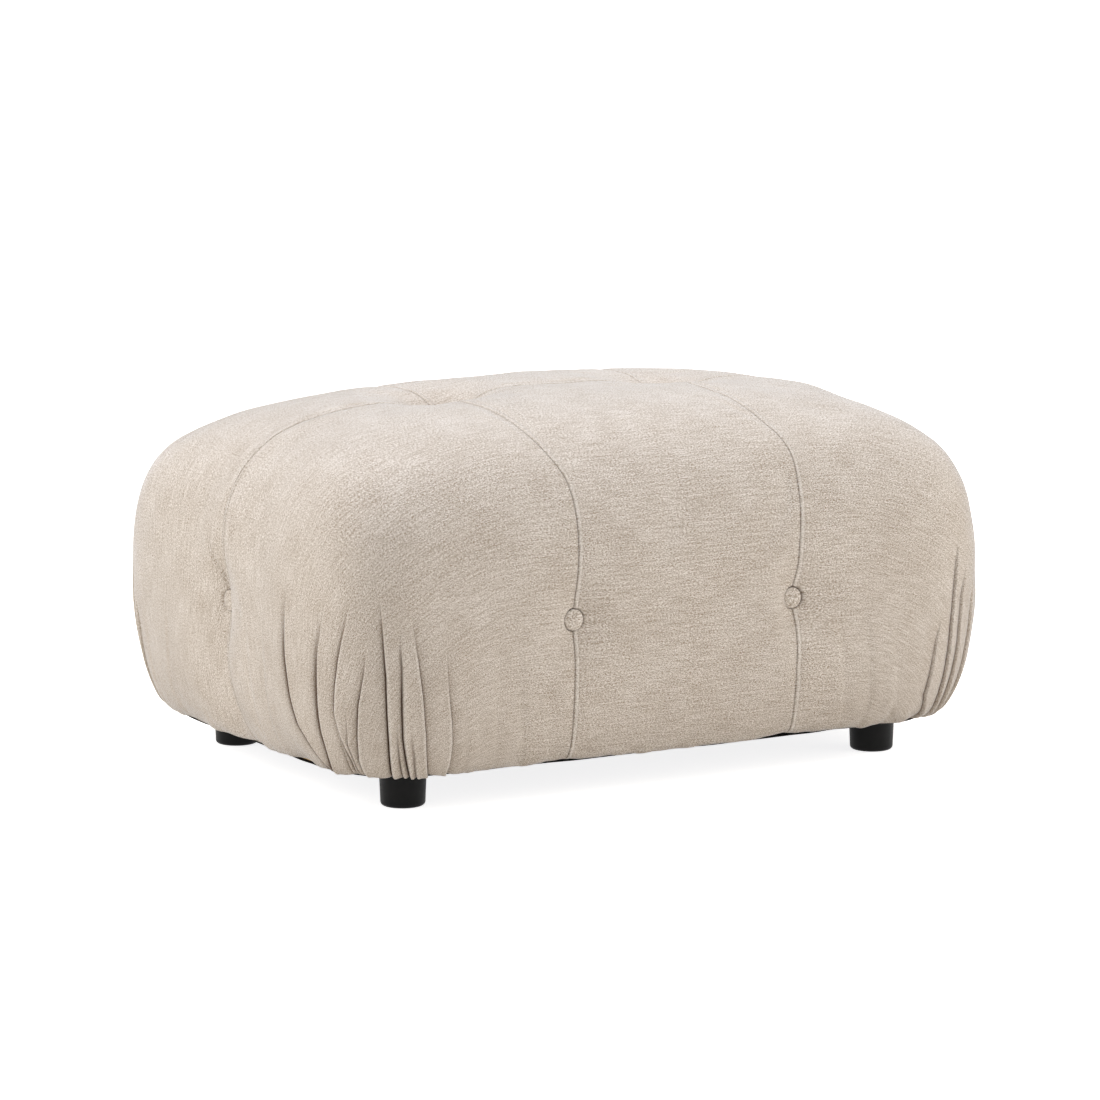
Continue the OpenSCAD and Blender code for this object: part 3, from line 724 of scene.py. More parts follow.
# Gathers of the far corner of the long face
RIGHT_CORNER = (
    soft_mark((45, 177), (54, 130), (63, 82), (69, 46), depth=1.6),
    soft_mark((85, 174), (94, 127), (102, 79), (105, 48), depth=1.8, flip=True),
    soft_mark((124, 147), (135, 100), (141, 60), depth=1.3),
    Fold(((191, 160), (187.5, 140), (187.5, 110), (189, 75), (205, 44)), 170, 4.2, flip=True,
         soft=5.5, seen=0.2, thin=0.6, line=1.0, haze=0.12),
    Fold(((221, 258), (217.5, 231), (213, 189), (211.5, 154), (213, 116), (217.5, 81),
          (224, 50)), 262, 4.6, flip=True, soft=5.5, seen=0.2, thin=0.6, line=1.0, haze=0.1),
    Fold(((238, 225), (234, 213), (228, 187), (226.5, 150), (229.5, 104), (238, 50)), 228, 4.4,
         flip=True, soft=5.5, seen=0.2, thin=0.6, line=1.0, haze=0.1),
    Fold(((262, 230), (256, 180), (254, 130), (257, 85), (262, 50)), 205, 5.0, flip=True,
         seen=0.2, thin=0.7),
    Fold(((290, 230), (287, 170), (284, 110), (280, 50)), 226, 6.0),
    Fold(((316, 210), (318, 150), (314, 100), (304, 50)), 190, 5.0),
    Fold(((352, 220), (352, 160), (344, 100), (328, 50)), 214, 5.5),
    Fold(((398, 200), (396, 140), (384, 90), (362, 50)), 176, 4.0),
)
# A plain set of gathers for the two hidden corners
HIDDEN_CORNER = (
    soft_mark((120, 160), (124, 110), (136, 50), flip=True),
    Fold(((168, 200), (166, 140), (172, 90), (180, 50)), 190, 4.5, flip=True),
    Fold(((204, 220), (200, 160), (203, 100), (208, 50)), 222, 5.5, flip=True),
    Fold(((236, 230), (232, 170), (233, 110), (234, 50)), 236, 7.0, lip=1.7),
    Fold(((262, 215), (262, 150), (260, 100), (257, 50)), 205, 5.5),
    Fold(((292, 230), (294, 170), (290, 110), (282, 50)), 228, 6.0),
    Fold(((318, 190), (318, 140), (313, 95), (302, 50)), 186, 4.5),
    soft_mark((352, 150), (350, 100), (336, 50), depth=1.2),
    soft_mark((416, 170), (412, 130), (396, 80), depth=1.0),
)
# Pull of the cloth above an end button
END_PULL = (
    Fold(((508, 285), (514, 274), (528, 258), (543, 240), (549, 215)), 292, 4.5, soft=9.0,
         steep=6.0, lip=1.0, bottom=206.0, line=0.14, thin=2.4, haze=0.12, glint=0.05, over=0),
)


@dataclass(frozen=True)
class Swell:
    """Slow unevenness of the stuffing, as a seeded sum of waves in space."""

    seed: int
    low_mm: float
    high_mm: float
    amount: float
    count: int = 14

    def value(self, p: np.ndarray) -> np.ndarray:
        """Gives the unevenness, in millimetres, at each point."""
        rng = np.random.default_rng(self.seed)
        total = np.zeros(p.shape[:-1])
        for _ in range(self.count):
            way = rng.normal(size=3)
            way *= 2 * math.pi / rng.uniform(self.low_mm, self.high_mm) / np.linalg.norm(way)
            total += np.sin(p @ way + rng.uniform(0, 2 * math.pi))
        return self.amount * total / math.sqrt(self.count)


@dataclass(frozen=True)
class Mound:
    """A place on top where the stuffing stands higher, or below zero lower."""

    x: float
    y: float
    rise: float
    spread: float

    def value(self, p: np.ndarray) -> np.ndarray:
        """Gives the rise, in millimetres, at each point."""
        away = (p[..., 0] - self.x) ** 2 + (p[..., 1] - self.y) ** 2
        on_top = part_of(p[..., 2] - 300, 70)
        return self.rise * on_top * np.exp(-away / self.spread ** 2)


@dataclass(frozen=True)
class Drift:
    """How far a sewn line strays sideways from its straight plane, against height."""

    table: tuple[tuple[float, float], ...]
    reach: float = 48.0
    tuft: float = 0.0

    def near(self, gap: np.ndarray) -> np.ndarray:
        """Gives how much the cloth at a distance from the seam moves with it."""
        return smooth(np.clip(1 - gap / self.reach, 0, 1))

    def shift(self, z: np.ndarray, gap: np.ndarray) -> np.ndarray:
        """Gives the sideways move of the cloth.

        Args:
            z: Height on the section.
            gap: Distance from the seam.

        Returns:
            The move of each point, in millimetres.
        """
        rows = sorted(self.table)
        fine = np.linspace(rows[0][0], rows[-1][0], 200)
        line = np.interp(fine, [r[0] for r in rows], [r[1] for r in rows])
        line = np.convolve(np.pad(line, 12, mode="edge"), np.hanning(25) / 12, "valid")
        return np.interp(z, fine, line) * self.near(gap)


# Strays of the seams that the photograph shows, along +x, +x and +y
FRONT_LEFT_DRIFT = Drift(((43, 2.5), (85, -2), (128, -4.3), (207, -5), (244, -3), (281, 1.5),
                          (319, 5), (348, 5.5), (362, 2), (376, -6), (394, -9)), tuft=7.0)
FRONT_RIGHT_DRIFT = Drift(((43, 2), (75, -3), (115, -6), (170, -9.5), (190, -11), (207, -14),
                           (222, -11), (240, -6.5), (262, -5), (297, 0), (335, 5), (358, 10),
                           (372, 10), (384, 2), (394, -1)), tuft=12.0)
END_LEFT_DRIFT = Drift(((43, -20), (71, -15), (120, -6), (171, 1), (207, 3), (270, 7),
                        (320, 13), (350, 13), (394, 5)), reach=62.0)


@dataclass(frozen=True)
class CoverRelief:
    """Depths below the smooth surface: seams, valleys, tufts, dimples and folds."""

    shape: SeatShape
    roll: float = 0.75
    top_valley: float = 1.4
    side_valley: float = 2.2
    end_valley: float = 4.0
    valley_reach: float = 27.0
    tuft_depth: float = 30.0
    tuft_reach: tuple[float, float, float] = (43.0, 28.0, 46.0)
    long_dimple: tuple[float, float] = (4.5, 2.5)
    end_dimple: tuple[float, float] = (6.0, 6.5)
    moat: float = 3.4
    moat_radius: float = 12.0
    # strengths of the painted shade ring round the long, end and top buttons
    rim_shades: tuple[float, float, float] = (0.6, 0.2, 0.5)
    allowance: float = 0.8
    allowance_w: float = 4.2
    corner_draw: float = 5.0
    corner_at: tuple[float, float] = (340.0, 95.0)
    near_draw: float = 4.5
    near_at: tuple[float, float] = (405.0, 48.0)
    drawn_from: float = 115.0
    end_lift: float = 2.8
    face_reach: float = 60.0
    top_z: float = 330.0
    top_blend: float = 60.0
    # strengths of the painted shade line along seams, at the allowances' edge and on the tufts' far
    # slopes
    seam_dark: float = 0.44
    edge_dark: float = 0.3
    edge_off: float = 1.2
    slope_dark: float = 0.16
    slope_y: float = 20.0
    mounds: tuple[Mound, ...] = (Mound(-352, 220, -5.5, 46), Mound(-265, 175, -3.6, 62),
                                 Mound(311, -46, 8.5, 50), Mound(150, -55, 2.4, 45))
    swells: tuple[Swell, ...] = (Swell(11, 110, 210, 1.1), Swell(23, 38, 70, 0.28))
    hem_swell: Swell = Swell(31, 26, 60, 0.8)
    hem_lift: Swell = Swell(37, 30, 80, 0.9)

    def button_points(self) -> tuple[np.ndarray, np.ndarray, np.ndarray]:
        """Gives the smooth surface at the long, end and top buttons."""
        s = self.shape
        z = np.array([s.button_z])
        spots = []
        for t in (0.0, s.round_length):
            spots.append(s.place(s.columns(np.array([t])), s.reach(z), z)[0])
        top = np.array([s.seam_x, 0.0, s.shoulder_z])
        top[2] += s.crown(top[0], top[1], top[2])
        return spots[0], spots[1], top

    def on_top(self, p: np.ndarray) -> np.ndarray:
        """Gives one for points on top, zero for points on the sides, and shares between."""
        return part_of(p[..., 2] - self.top_z, self.top_blend)

    @staticmethod
    def pull(across: np.ndarray, rise: np.ndarray, amounts: tuple[float, float],
             widths: tuple[float, float], heights: tuple[float, float]) -> np.ndarray:
        """Gives the depth round a button: a wide soft hollow and a narrow one along the seam."""
        return sum(a * bell(across, w) * bell(rise, h)
                   for a, w, h in zip(amounts, widths, heights))

    def broad(self, p: np.ndarray, front: bool = True) -> np.ndarray:
        """Gives the soft depths: valleys, tufts and dimples.

        Args:
            p: Points of the smooth surface, mirrored into the quarter x > 0, y < 0.
            front: True on the long side that the photograph shows.

        Returns:
            Depth at each point, in millimetres.
        """
        s = self.shape
        long_button, end_button, _ = self.button_points()
        on_top = self.on_top(p)
        dx, dy, rise = np.abs(p[..., 0] - s.seam_x), np.abs(p[..., 1]), p[..., 2] - s.button_z
        cross = self.side_valley + (self.top_valley - self.side_valley) * on_top
        along = self.end_valley + (self.top_valley - self.end_valley) * on_top
        depth = cross * bell(dx, self.valley_reach) + along * bell(dy, self.valley_reach)
        side, near, far = self.tuft_reach
        depth = depth + self.tuft_depth * on_top * bell(dx, side) * bell(
            dy, near if front else far)
        on_long = bell(p[..., 1] - long_button[1], self.face_reach)
        on_end = bell(p[..., 0] - end_button[0], self.face_reach)
        depth = depth + on_long * self.pull(dx, rise, self.long_dimple, (24, 10), (34, 30))
        return depth + on_end * self.pull(dy, rise, self.end_dimple, (30, 11), (48, 44))

    def ditch(self, gap: np.ndarray) -> np.ndarray:
        """Gives the depth of the cloth's roll into a seam at a distance from it."""
        inside = np.clip(1 - gap / self.roll, 0, 1)
        return self.roll * 1.3 * (1 - np.sqrt(1 - inside ** 2))

    def button_rim(self, p: np.ndarray) -> tuple[np.ndarray, np.ndarray]:
        """Gives how far the cloth is drawn in under each button, and the painted shade ring round
        it.
        """
        depth = np.zeros(p.shape[:-1])
        shade = np.zeros(p.shape[:-1])
        for spot, dark in zip(self.button_points(), self.rim_shades):
            away = np.linalg.norm((p - spot) * [1, 1, float(spot[2] < self.top_z)], axis=-1)
            near = part_of(self.moat_radius + 0.9 - away, 1.6)
            depth = np.maximum(depth, self.moat * smooth(near))
            # painted shade ring at the edge of the hollow
            ring = np.clip(1.0 - (away - self.moat_radius) / 0.7, 0, 1)
            shade = np.maximum(shade, dark * ring)
        return depth, shade

    def strip(self, gap: np.ndarray) -> np.ndarray:
        """Gives the rise over a seam's allowance, pressed to one side."""
        up = smooth(part_of(gap - 0.5, 1.4))
        return self.allowance * up * (1 - smooth(part_of(gap - self.allowance_w, 1.6)))

    def seam_shade(self, gap: np.ndarray, on_strip: np.ndarray | float,
                   painted_highlight: np.ndarray | float) -> np.ndarray:
        """Gives a seam's painted shade line, and where the allowance lies a painted highlight on
        its top and a painted shade line at its far edge.

        Args:
            gap: Distance from the seam.
            on_strip: 1 where the allowance lies on this side, else 0.
            painted_highlight: Strength of the painted highlight on the allowance's top.

        Returns:
            The painted shade, below zero where the highlight is painted.
        """
        line = self.seam_dark * np.exp(-gap / 0.6)
        edge = self.edge_dark * bell(gap - self.allowance_w - self.edge_off, 0.7)
        return line + on_strip * (edge - painted_highlight * self.strip(gap) / self.allowance)

    def tuft_shade(self, real: np.ndarray) -> np.ndarray:
        """Gives the painted shade on the far slopes of the tufts."""
        dx, dy = np.abs(real[..., 0]) - self.shape.seam_x, real[..., 1] - self.slope_y
        high = part_of(real[..., 2] - 360, 30)
        return self.slope_dark * high * bell(dx, 40) * bell(dy, 22)

    def drawn_hem(self, t: np.ndarray, z: np.ndarray, near: bool) -> np.ndarray:
        """Gives how far a corner is drawn in above the hem.

        Args:
            t: Distance round the widest line.
            z: Height on the section.
            near: True for the corner that the photograph shows from the front.

        Returns:
            Depth at each point, in millimetres.
        """
        low = part_of(self.drawn_from - z, self.drawn_from - self.shape.hem_z) ** 2
        if near:
            return self.near_draw * bell(t - self.near_at[0], self.near_at[1]) * low
        return self.corner_draw * np.exp(-((t - self.corner_at[0]) / self.corner_at[1]) ** 4) * low

    def raised_end(self, t: np.ndarray, z: np.ndarray) -> np.ndarray:
        """Gives how far the hem of an end face is raised."""
        return self.end_lift * smooth(part_of(t - 360.0, 50.0)) * self.near_hem(z, 18.0)

    def near_hem(self, z: np.ndarray, reach: float) -> np.ndarray:
        """Gives one at the hem, and less the higher above it."""
        return np.exp(-np.clip(z - self.shape.hem_z, 0, None) / reach)


# Cover panels


class Along(Enum):
    """Which third of the seat's length a panel covers."""

    LEFT = -1
    MIDDLE = 0
    RIGHT = 1


def seam_steps(length: float, step: float, both: bool = False) -> np.ndarray:
    """Spaces points over a length, close together beside a seam.

    Args:
        length: Length to cover, in millimetres.
        step: Spacing away from the seam.
        both: True where both ends lie on a seam.

    Returns:
        Distances from the first end.
    """
    fine = [0.0]
    gap = 0.3
    while gap < step and fine[-1] + gap < length / 2:
        fine.append(fine[-1] + gap)
        gap *= 1.16
    start = np.array(fine)
    if both:
        count = max(1, round((length - 2 * start[-1]) / step))
        middle = np.linspace(start[-1], length - start[-1], count + 1)[1:-1]
        return np.concatenate([start, middle, (length - start)[::-1]])
    count = max(1, round((length - start[-1]) / step))
    return np.concatenate([start, np.linspace(start[-1], length, count + 1)[1:]])


def eased(at: np.ndarray, knots: np.ndarray, values: np.ndarray) -> np.ndarray:
    """Interpolates values smoothly along their first axis.

    Args:
        at: Places to give values for.
        knots: Rising places of the values.
        values: Values at the knots.

    Returns:
        The value at each place.
    """
    slope = np.gradient(values, knots, axis=0)
    i = np.clip(np.searchsorted(knots, at) - 1, 0, len(knots) - 2)
    wide = (knots[i + 1] - knots[i]).reshape((-1,) + (1,) * (values.ndim - 1))
    u = np.clip((at - knots[i]).reshape(wide.shape) / wide, 0, 1)
    return ((2 * u ** 3 - 3 * u ** 2 + 1) * values[i] + (3 * u ** 2 - 2 * u ** 3) * values[i + 1]
            + (u ** 3 - 2 * u ** 2 + u) * wide * slope[i] + (u ** 3 - u ** 2) * wide * slope[i + 1])


@dataclass(frozen=True)
class Settling:
    """How far the cloth simulation moved a panel, on the simulated panel's own grid."""

    x: np.ndarray
    y: np.ndarray
    columns: np.ndarray
    w: np.ndarray
    flat: np.ndarray
    side: np.ndarray

    def on_flat(self, x: np.ndarray, y: np.ndarray) -> np.ndarray:
        """Gives the move on a grid of the flat rectangle."""
        rows = eased(x, self.x, self.flat)
        return eased(-y, -self.y, rows.transpose(1, 0, 2)).transpose(1, 0, 2)

    def on_side(self, columns: np.ndarray, w: np.ndarray) -> np.ndarray:
        """Gives the move on a grid of the rounded side.

        Args:
            columns: Place of each grid point across the panel, one column per upright line.
            w: Arc length of each row.

        Returns:
            The move of each grid point.
        """
        rows = eased(w, self.w, self.side.transpose(1, 0, 2))
        return np.stack([eased(columns[:, k], self.columns, rows[k])
                         for k in range(len(w))], 1)


@dataclass
class CoverPanel:
    """One sewn panel of the cover, with its backing of wadding, as a closed shell."""

    shape: SeatShape
    relief: CoverRelief
    along: Along
    front: bool
    folds: tuple[Fold, ...] = ()
    step: float = 2.6
    seam_gap: float = 0.2
    hem_width: float = 27.0
    hem_cloth: float = 1.4
    hem_wall: float = 2.2
    wadding: float = 9.0
    # strengths of the painted highlight on the seam allowances, at the sides and on top, and along
    # the long seam
    cross_painted_highlight: tuple[float, float] = (0.32, 0.10)
    long_painted_highlight: float = 0.08
    most_lift: float = 1.6
    hem_fades: tuple[float, float, float] = (5.0, 4.0, 3.0)
    board_gap: float = 1.2
    button_rows: float = 20.0
    button_pace: float = 0.42
    least_gap: float = 0.3
    button_clear: float = 26.0
    beside_fold: tuple[float, ...] = (0.0, 0.5, 1.0, 1.6, 2.3, 3.2, 4.4, 5.8)
    settling: Settling | None = None

    @property
    def name(self) -> str:
        """Name of the panel, after its place."""
        return f"cover_{'front' if self.front else 'back'}_{self.along.name.lower()}"

    def drift(self, p: np.ndarray, z: np.ndarray) -> np.ndarray:
        """Gives how far the panel's points stray with its seams.

        Args:
            p: Points in the worked-out quarter, before the stray.
            z: Height on the section.

        Returns:
            The move of each point along the three axes, in the panel's own place.
        """
        move = np.zeros(p.shape)
        real = p * self.mirror
        fade = smooth(part_of(np.abs(real[..., 1]), self.shape.flat_y))
        for side, drift in ((-1, FRONT_LEFT_DRIFT), (1, FRONT_RIGHT_DRIFT)):
            gap = np.abs(real[..., 0] - side * self.shape.seam_x)
            at_top = drift.tuft * drift.near(gap) * (1 - fade)
            move[..., 0] += drift.shift(z, gap) * fade + at_top if self.front else at_top
        if self.along is Along.LEFT:
            side = part_of(np.abs(real[..., 0]) - self.shape.seam_x, 52.0)
            move[..., 1] += END_LEFT_DRIFT.shift(z, np.abs(real[..., 1])) * side
        return move

    @property
    def mirror(self) -> np.ndarray:
        """Signs that take the worked-out quarter to the panel's own."""
        return np.array([-1.0 if self.along is Along.LEFT else 1.0,
                         1.0 if self.front else -1.0, 1.0])

    def rows(self) -> tuple[np.ndarray, np.ndarray, np.ndarray]:
        """Gives arc length, reach and height of the rows, with the turned hem last."""
        arc, r, z = self.shape.section()
        away = np.abs(z - self.shape.button_z) / self.button_rows
        tight = np.where(away < 1, self.button_pace,
                         np.clip(self.button_pace + (away - 1) * 0.9, 0, 1))
        tight = np.where(self.step > 4, 1.0, tight)
        pace = np.concatenate([[0], np.cumsum(np.diff(arc) / tight[1:])])
        count = round(pace[-1] / (self.step * 1.05))
        w = np.interp(np.linspace(0, pace[-1], count + 1)[1:], pace, arc)
        r, z = np.interp(w, arc, r), np.interp(w, arc, z)
        turn = np.arange(self.step, self.hem_width, self.step * 1.6)
        return (np.concatenate([w, w[-1] + turn]), np.concatenate([r, r[-1] - turn]),
                np.concatenate([z, np.full(len(turn), z[-1])]))

    def fold_lines(self) -> tuple[Fold, ...]:
        """Gives the folds in order round the corner."""
        return tuple(sorted((f for f in self.folds if f.creased), key=lambda f: f.anchor))

    def column_places(self) -> np.ndarray:
        """Spaces the columns of a corner panel, closer together beside each fold."""
        edge = seam_steps(self.shape.round_length, self.step, both=True)
        anchors = [f.anchor for f in self.fold_lines()]
        near = [a + s * o for a in anchors for s in (-1, 1) for o in self.beside_fold]
        clear = self.beside_fold[-1] + 0.4
        keep = [e for e in edge if all(abs(e - a) > clear for a in anchors)]
        merged = np.unique(np.round(np.concatenate([keep, near]), 4))
        good = [merged[0]]
        for value in merged[1:]:
            is_anchor = any(abs(value - a) < 1e-3 for a in anchors)
            if value - good[-1] >= self.least_gap:
                good.append(value)
            elif is_anchor:
                good[-1] = value
        return np.array(good)

    def warp(self, t: np.ndarray, z: np.ndarray) -> np.ndarray:
        """Bends the columns so that one of them lies in each fold at every height."""
        lines = self.fold_lines()
        if not lines:
            return np.repeat(t[:, None], len(z), 1)
        level = np.clip(z, 45.0, 240.0)
        length = self.shape.round_length
        base = [0.0] + [f.anchor for f in lines] + [length]
        at = np.array([0 * z] + [f.centre(level) for f in lines] + [0 * z + length])
        for i in range(1, len(at) - 1):
            at[i] = np.maximum(at[i], at[i - 1] + 4.0)
        bent = np.stack([np.interp(t, base, at[:, k]) for k in range(len(z))], 1)
        return t[:, None] + (bent - t[:, None]) * smooth(part_of(300.0 - z, 60.0))[None, :]

    def depths(self, p: np.ndarray, real: np.ndarray, t: np.ndarray | None, z: np.ndarray,
               long_gap: np.ndarray, cross_gap: np.ndarray, cross_strip: np.ndarray
               ) -> tuple[np.ndarray, np.ndarray, np.ndarray]:
        """Works out how far points lie below the smooth surface.

        Args:
            p: Points of the smooth surface in the worked-out quarter.
            real: The same points in their own place.
            t: Distance round the widest line, or None on the flat rectangle.
            z: Height on the section.
            long_gap: Distance from the long seam.
            cross_gap: Distance from the nearest cross seam.
            cross_strip: 1 where the cross seam's allowance lies on this side, else 0.

        Returns:
            The broad depth, the fine depth that goes on top of it, and the painted shade of
            creases, seams, tufts and button rims, below zero a painted highlight.
        """
        relief = self.relief
        soft = relief.broad(p, self.front) + sum(swell.value(real) for swell in relief.swells)
        soft = soft - sum(mound.value(real) for mound in relief.mounds)
        moat, rim = relief.button_rim(p)
        fine = np.maximum(relief.ditch(long_gap), relief.ditch(cross_gap))
        # the long seam's allowance lies to the front on the ends and to the back on top
        on_top = relief.on_top(p)
        long_strip = 1 - on_top if self.front else on_top
        fine = fine - relief.strip(cross_gap) * cross_strip - relief.strip(long_gap) * long_strip
        # painted shade lines along the seams with painted highlights on their allowances, then
        # painted shade on the tufts
        on_side, above = self.cross_painted_highlight
        shade = relief.seam_shade(cross_gap, cross_strip, on_side + (above - on_side) * on_top)
        shade = shade + relief.seam_shade(long_gap, long_strip, self.long_painted_highlight)
        shade = shade + relief.tuft_shade(real)
        clear = 1 - moat / relief.moat
        fine = fine * clear + moat
        # the painted shade ring round the buttons
        shade = np.where(clear < 0.99, np.maximum(shade, rim), shade + rim)
        soft = soft + relief.hem_swell.value(real) * relief.near_hem(z, 16.0)
        if t is not None:
            soft = soft + relief.drawn_hem(t, z, self.front and self.along is Along.LEFT)
            for fold in self.folds:
                fine = fine + fold.dip(t, z)
                # painted shade in the tuck and painted highlight on its lip
                shade = shade + fold.shade(t, z)
        return soft, fine, np.clip(shade, -0.5, 1)

    def wall(self, z: np.ndarray) -> np.ndarray:
        """Gives the panel's thickness at each height."""
        grow = part_of(z - self.shape.hem_z, 60.0)
        return self.hem_wall + (self.wadding - self.hem_wall) * grow

    def upright_lines(self, w: np.ndarray, r: np.ndarray, z: np.ndarray
                      ) -> tuple[np.ndarray, np.ndarray, np.ndarray | None,
                                 dict[str, np.ndarray], tuple[int, int]]:
        """Spaces the panel's upright lines and the grid of its flat rectangle.

        Args:
            w: Arc length of each row.
            r: Reach of each row.
            z: Height of each row.

        Returns:
            The grid's places along x and along y, the distance of each point round the widest
            line or None for a middle panel, the lines' values as from columns() with the
            cloth's direction, and the first line of the corner and the first past it.
        """
        s = self.shape
        if self.along is Along.MIDDLE:
            x = -s.seam_x + seam_steps(2 * s.seam_x, self.step, both=True)
            t = None
            count = len(x)
            col = {"x": np.repeat(x[:, None], len(z), 1)}
            for key, value in (("y", -s.flat_y), ("dx", 0.0), ("dy", -1.0), ("nx", 0.0),
                               ("ny", -1.0), ("cloth_x", 0.0), ("cloth_y", -1.0)):
                col[key] = np.full((count, len(z)), value)
            corner = (count, 0)
            y = -seam_steps(s.flat_y, self.step)
        else:
            places = self.column_places()
            x = s.seam_x + places[places <= s.long_part + 1e-9]
            if s.long_part - (x[-1] - s.seam_x) > 1e-6:
                x = np.append(x, s.flat_x)
                places = np.insert(places, len(x) - 1, s.long_part)
            end = s.long_part + s.corner_part
            if not np.any(np.abs(places - end) < 1e-6):
                places = np.sort(np.append(places, end))
            t = self.warp(places, z)
            col = s.columns(t)
            col["cloth_x"], col["cloth_y"] = s.fanned(col["angle"], r, w)
            corner = (len(x), int(np.sum(places < end - 1e-9)))
            y = (places[corner[1]:] - s.round_length)[::-1]
        return x, y, t, col, corner

    def surfaces(self) -> dict[str, np.ndarray]:
        """Works out the grids of the panel's outer and inner surface and its cloth lines."""
        s = self.shape
        w, r, z = self.rows()
        x, y, t, col, corner = self.upright_lines(w, r, z)
        rr, zz = np.broadcast_to(r, col["x"].shape), np.broadcast_to(z, col["x"].shape)
        base = s.place(col, rr, zz)
        out, up = s.slope(rr, zz)
        normal = np.stack([out * col["nx"], out * col["ny"], up], -1)
        cloth = np.stack([col["x"] + w * col["cloth_x"], col["y"] + w * col["cloth_y"]], -1)
        fx, fy = np.meshgrid(x, y, indexing="ij")
        fz = np.full(fx.shape, s.shoulder_z)
        flat = np.stack([fx, fy, fz + s.crown(fx, fy, fz)], -1)
        made = {"side_cloth": cloth, "flat_cloth": np.stack([fx, fy], -1), "corner": corner}
        for key, pts, nrm, tt, zs in (
                ("side", base, normal, t, zz),
                ("flat", flat, np.broadcast_to([0.0, 0.0, 1.0], flat.shape), None, fz)):
            if self.along is Along.MIDDLE:
                left, right = pts[..., 0] + s.seam_x, s.seam_x - pts[..., 0]
                cross, strip = np.minimum(left, right), (left < right).astype(float)
                quarter = pts * np.where(pts[..., :1] < 0, [-1.0, 1, 1], [1.0, 1, 1])
            else:
                cross = pts[..., 0] - s.seam_x
                strip = np.full(cross.shape, float(self.along is Along.RIGHT))
                quarter = pts
            soft, fine, made[key + "_shade"] = self.depths(
                quarter, pts * self.mirror, tt, zs, np.abs(pts[..., 1]), cross, strip)
            if tt is not None and self.folds:
                lean = sum(fold.lean(tt, zs) for fold in self.folds)
                pts = pts + np.stack([-nrm[..., 1] * lean, nrm[..., 0] * lean, 0 * lean], -1)
            thick = np.maximum(self.wall(zs), fine + 1.6)
            made[key] = pts - nrm * (soft + fine)[..., None]
            made[key + "_in"] = pts - nrm * (soft + thick)[..., None]
        columns = t if t is not None else np.repeat(x[:, None], len(z), 1)
        made.update(x=x, y=y, w=w, columns=columns)
        if self.settling is not None:
            for key, move in (("flat", self.settling.on_flat(x, y)),
                              ("side", self.settling.on_side(columns, w))):
                made[key] = made[key] + move
                made[key + "_in"] = made[key + "_in"] + move
        made["side_z"], made["flat_z"] = zz, fz
        spots = self.relief.button_points()[:2]
        away = np.min([np.linalg.norm(base - spot, axis=-1) for spot in spots], axis=0)
        made["side_cloth"] = cloth + self.taken_up(made["side"], base, col,
                                                   away > self.button_clear)
        self.turn_hem(made, base, t, z)
        return made

    def turn_hem(self, made: dict[str, np.ndarray], base: np.ndarray, t: np.ndarray | None,
                 z: np.ndarray) -> None:
        """Turns the cloth under at the hem, lifts it here and there and clears the board.

        Args:
            made: The grids, whose side is changed.
            base: Points of the smooth surface.
            t: Distance of each point round the widest line, or None for a middle panel.
            z: Height of each row.
        """
        s, zz = self.shape, made["side_z"]
        # rows past the lowest one are the turned hem
        extra = np.arange(len(z)) - int(np.argmin(z))
        sag_rows, lift_rows, end_rows = self.hem_fades
        fade = np.clip(1 - extra / sag_rows, 0, 1)
        sunk = (made["side"][..., 2] - base[..., 2]) * fade
        made["side"][..., 2] = np.where(extra > 0, base[..., 2] + sunk, made["side"][..., 2])
        inner = made["side_in"]
        inner[..., 2] = np.where(extra > 0, made["side"][..., 2] + self.hem_cloth,
                                 inner[..., 2])
        inner[..., :2] = np.where((extra > 0)[None, :, None], made["side"][..., :2],
                                  inner[..., :2])
        low = self.relief.near_hem(zz, 12.0) * np.clip(1 - extra / lift_rows, 0, 1)
        lift = np.abs(self.relief.hem_lift.value(base * self.mirror)) * low
        if self.along is Along.LEFT:
            lift = lift + self.relief.raised_end(t, zz) * np.clip(1 - extra / end_rows, 0, 1)
        lift = np.minimum(lift, self.most_lift)
        made["side"][..., 2] += lift
        inner[..., 2] += lift
        low = (zz < s.board_top + 6) & (extra <= 0)
        made["side"][..., :2] += s.clear_of_board(made["side"][..., :2],
                                                  self.board_gap) * low[..., None]

    @staticmethod
    def taken_up(outer: np.ndarray, base: np.ndarray, col: dict[str, np.ndarray],
                 plain: np.ndarray) -> np.ndarray:
        """Gives the shift of the cloth's pattern by the cloth that the folds take up.

        Args:
            outer: Points of the outer surface.
            base: Points of the smooth surface.
            col: Upright lines, from columns().
            plain: True away from the buttons, where the cloth is counted.

        Returns:
            Shift of the cloth coordinates at each point.
        """
        real = np.linalg.norm(np.diff(outer, axis=0), axis=-1)
        extra = np.maximum(real - np.linalg.norm(np.diff(base, axis=0), axis=-1), 0) * plain[1:]
        way = np.stack([-col["cloth_y"], col["cloth_x"]], -1)[1:]
        shift = np.zeros(outer.shape[:2] + (2,))
        shift[1:] = np.cumsum(extra[..., None] * way, axis=0)
        return shift

    @staticmethod
    def joined(made: dict[str, np.ndarray], key: str, *size: int) -> np.ndarray:
        """Joins a grid of the flat rectangle and of the side into one list of rows of a size."""
        return np.concatenate([made["flat" + key].reshape(-1, *size),
                               made["side" + key].reshape(-1, *size)])

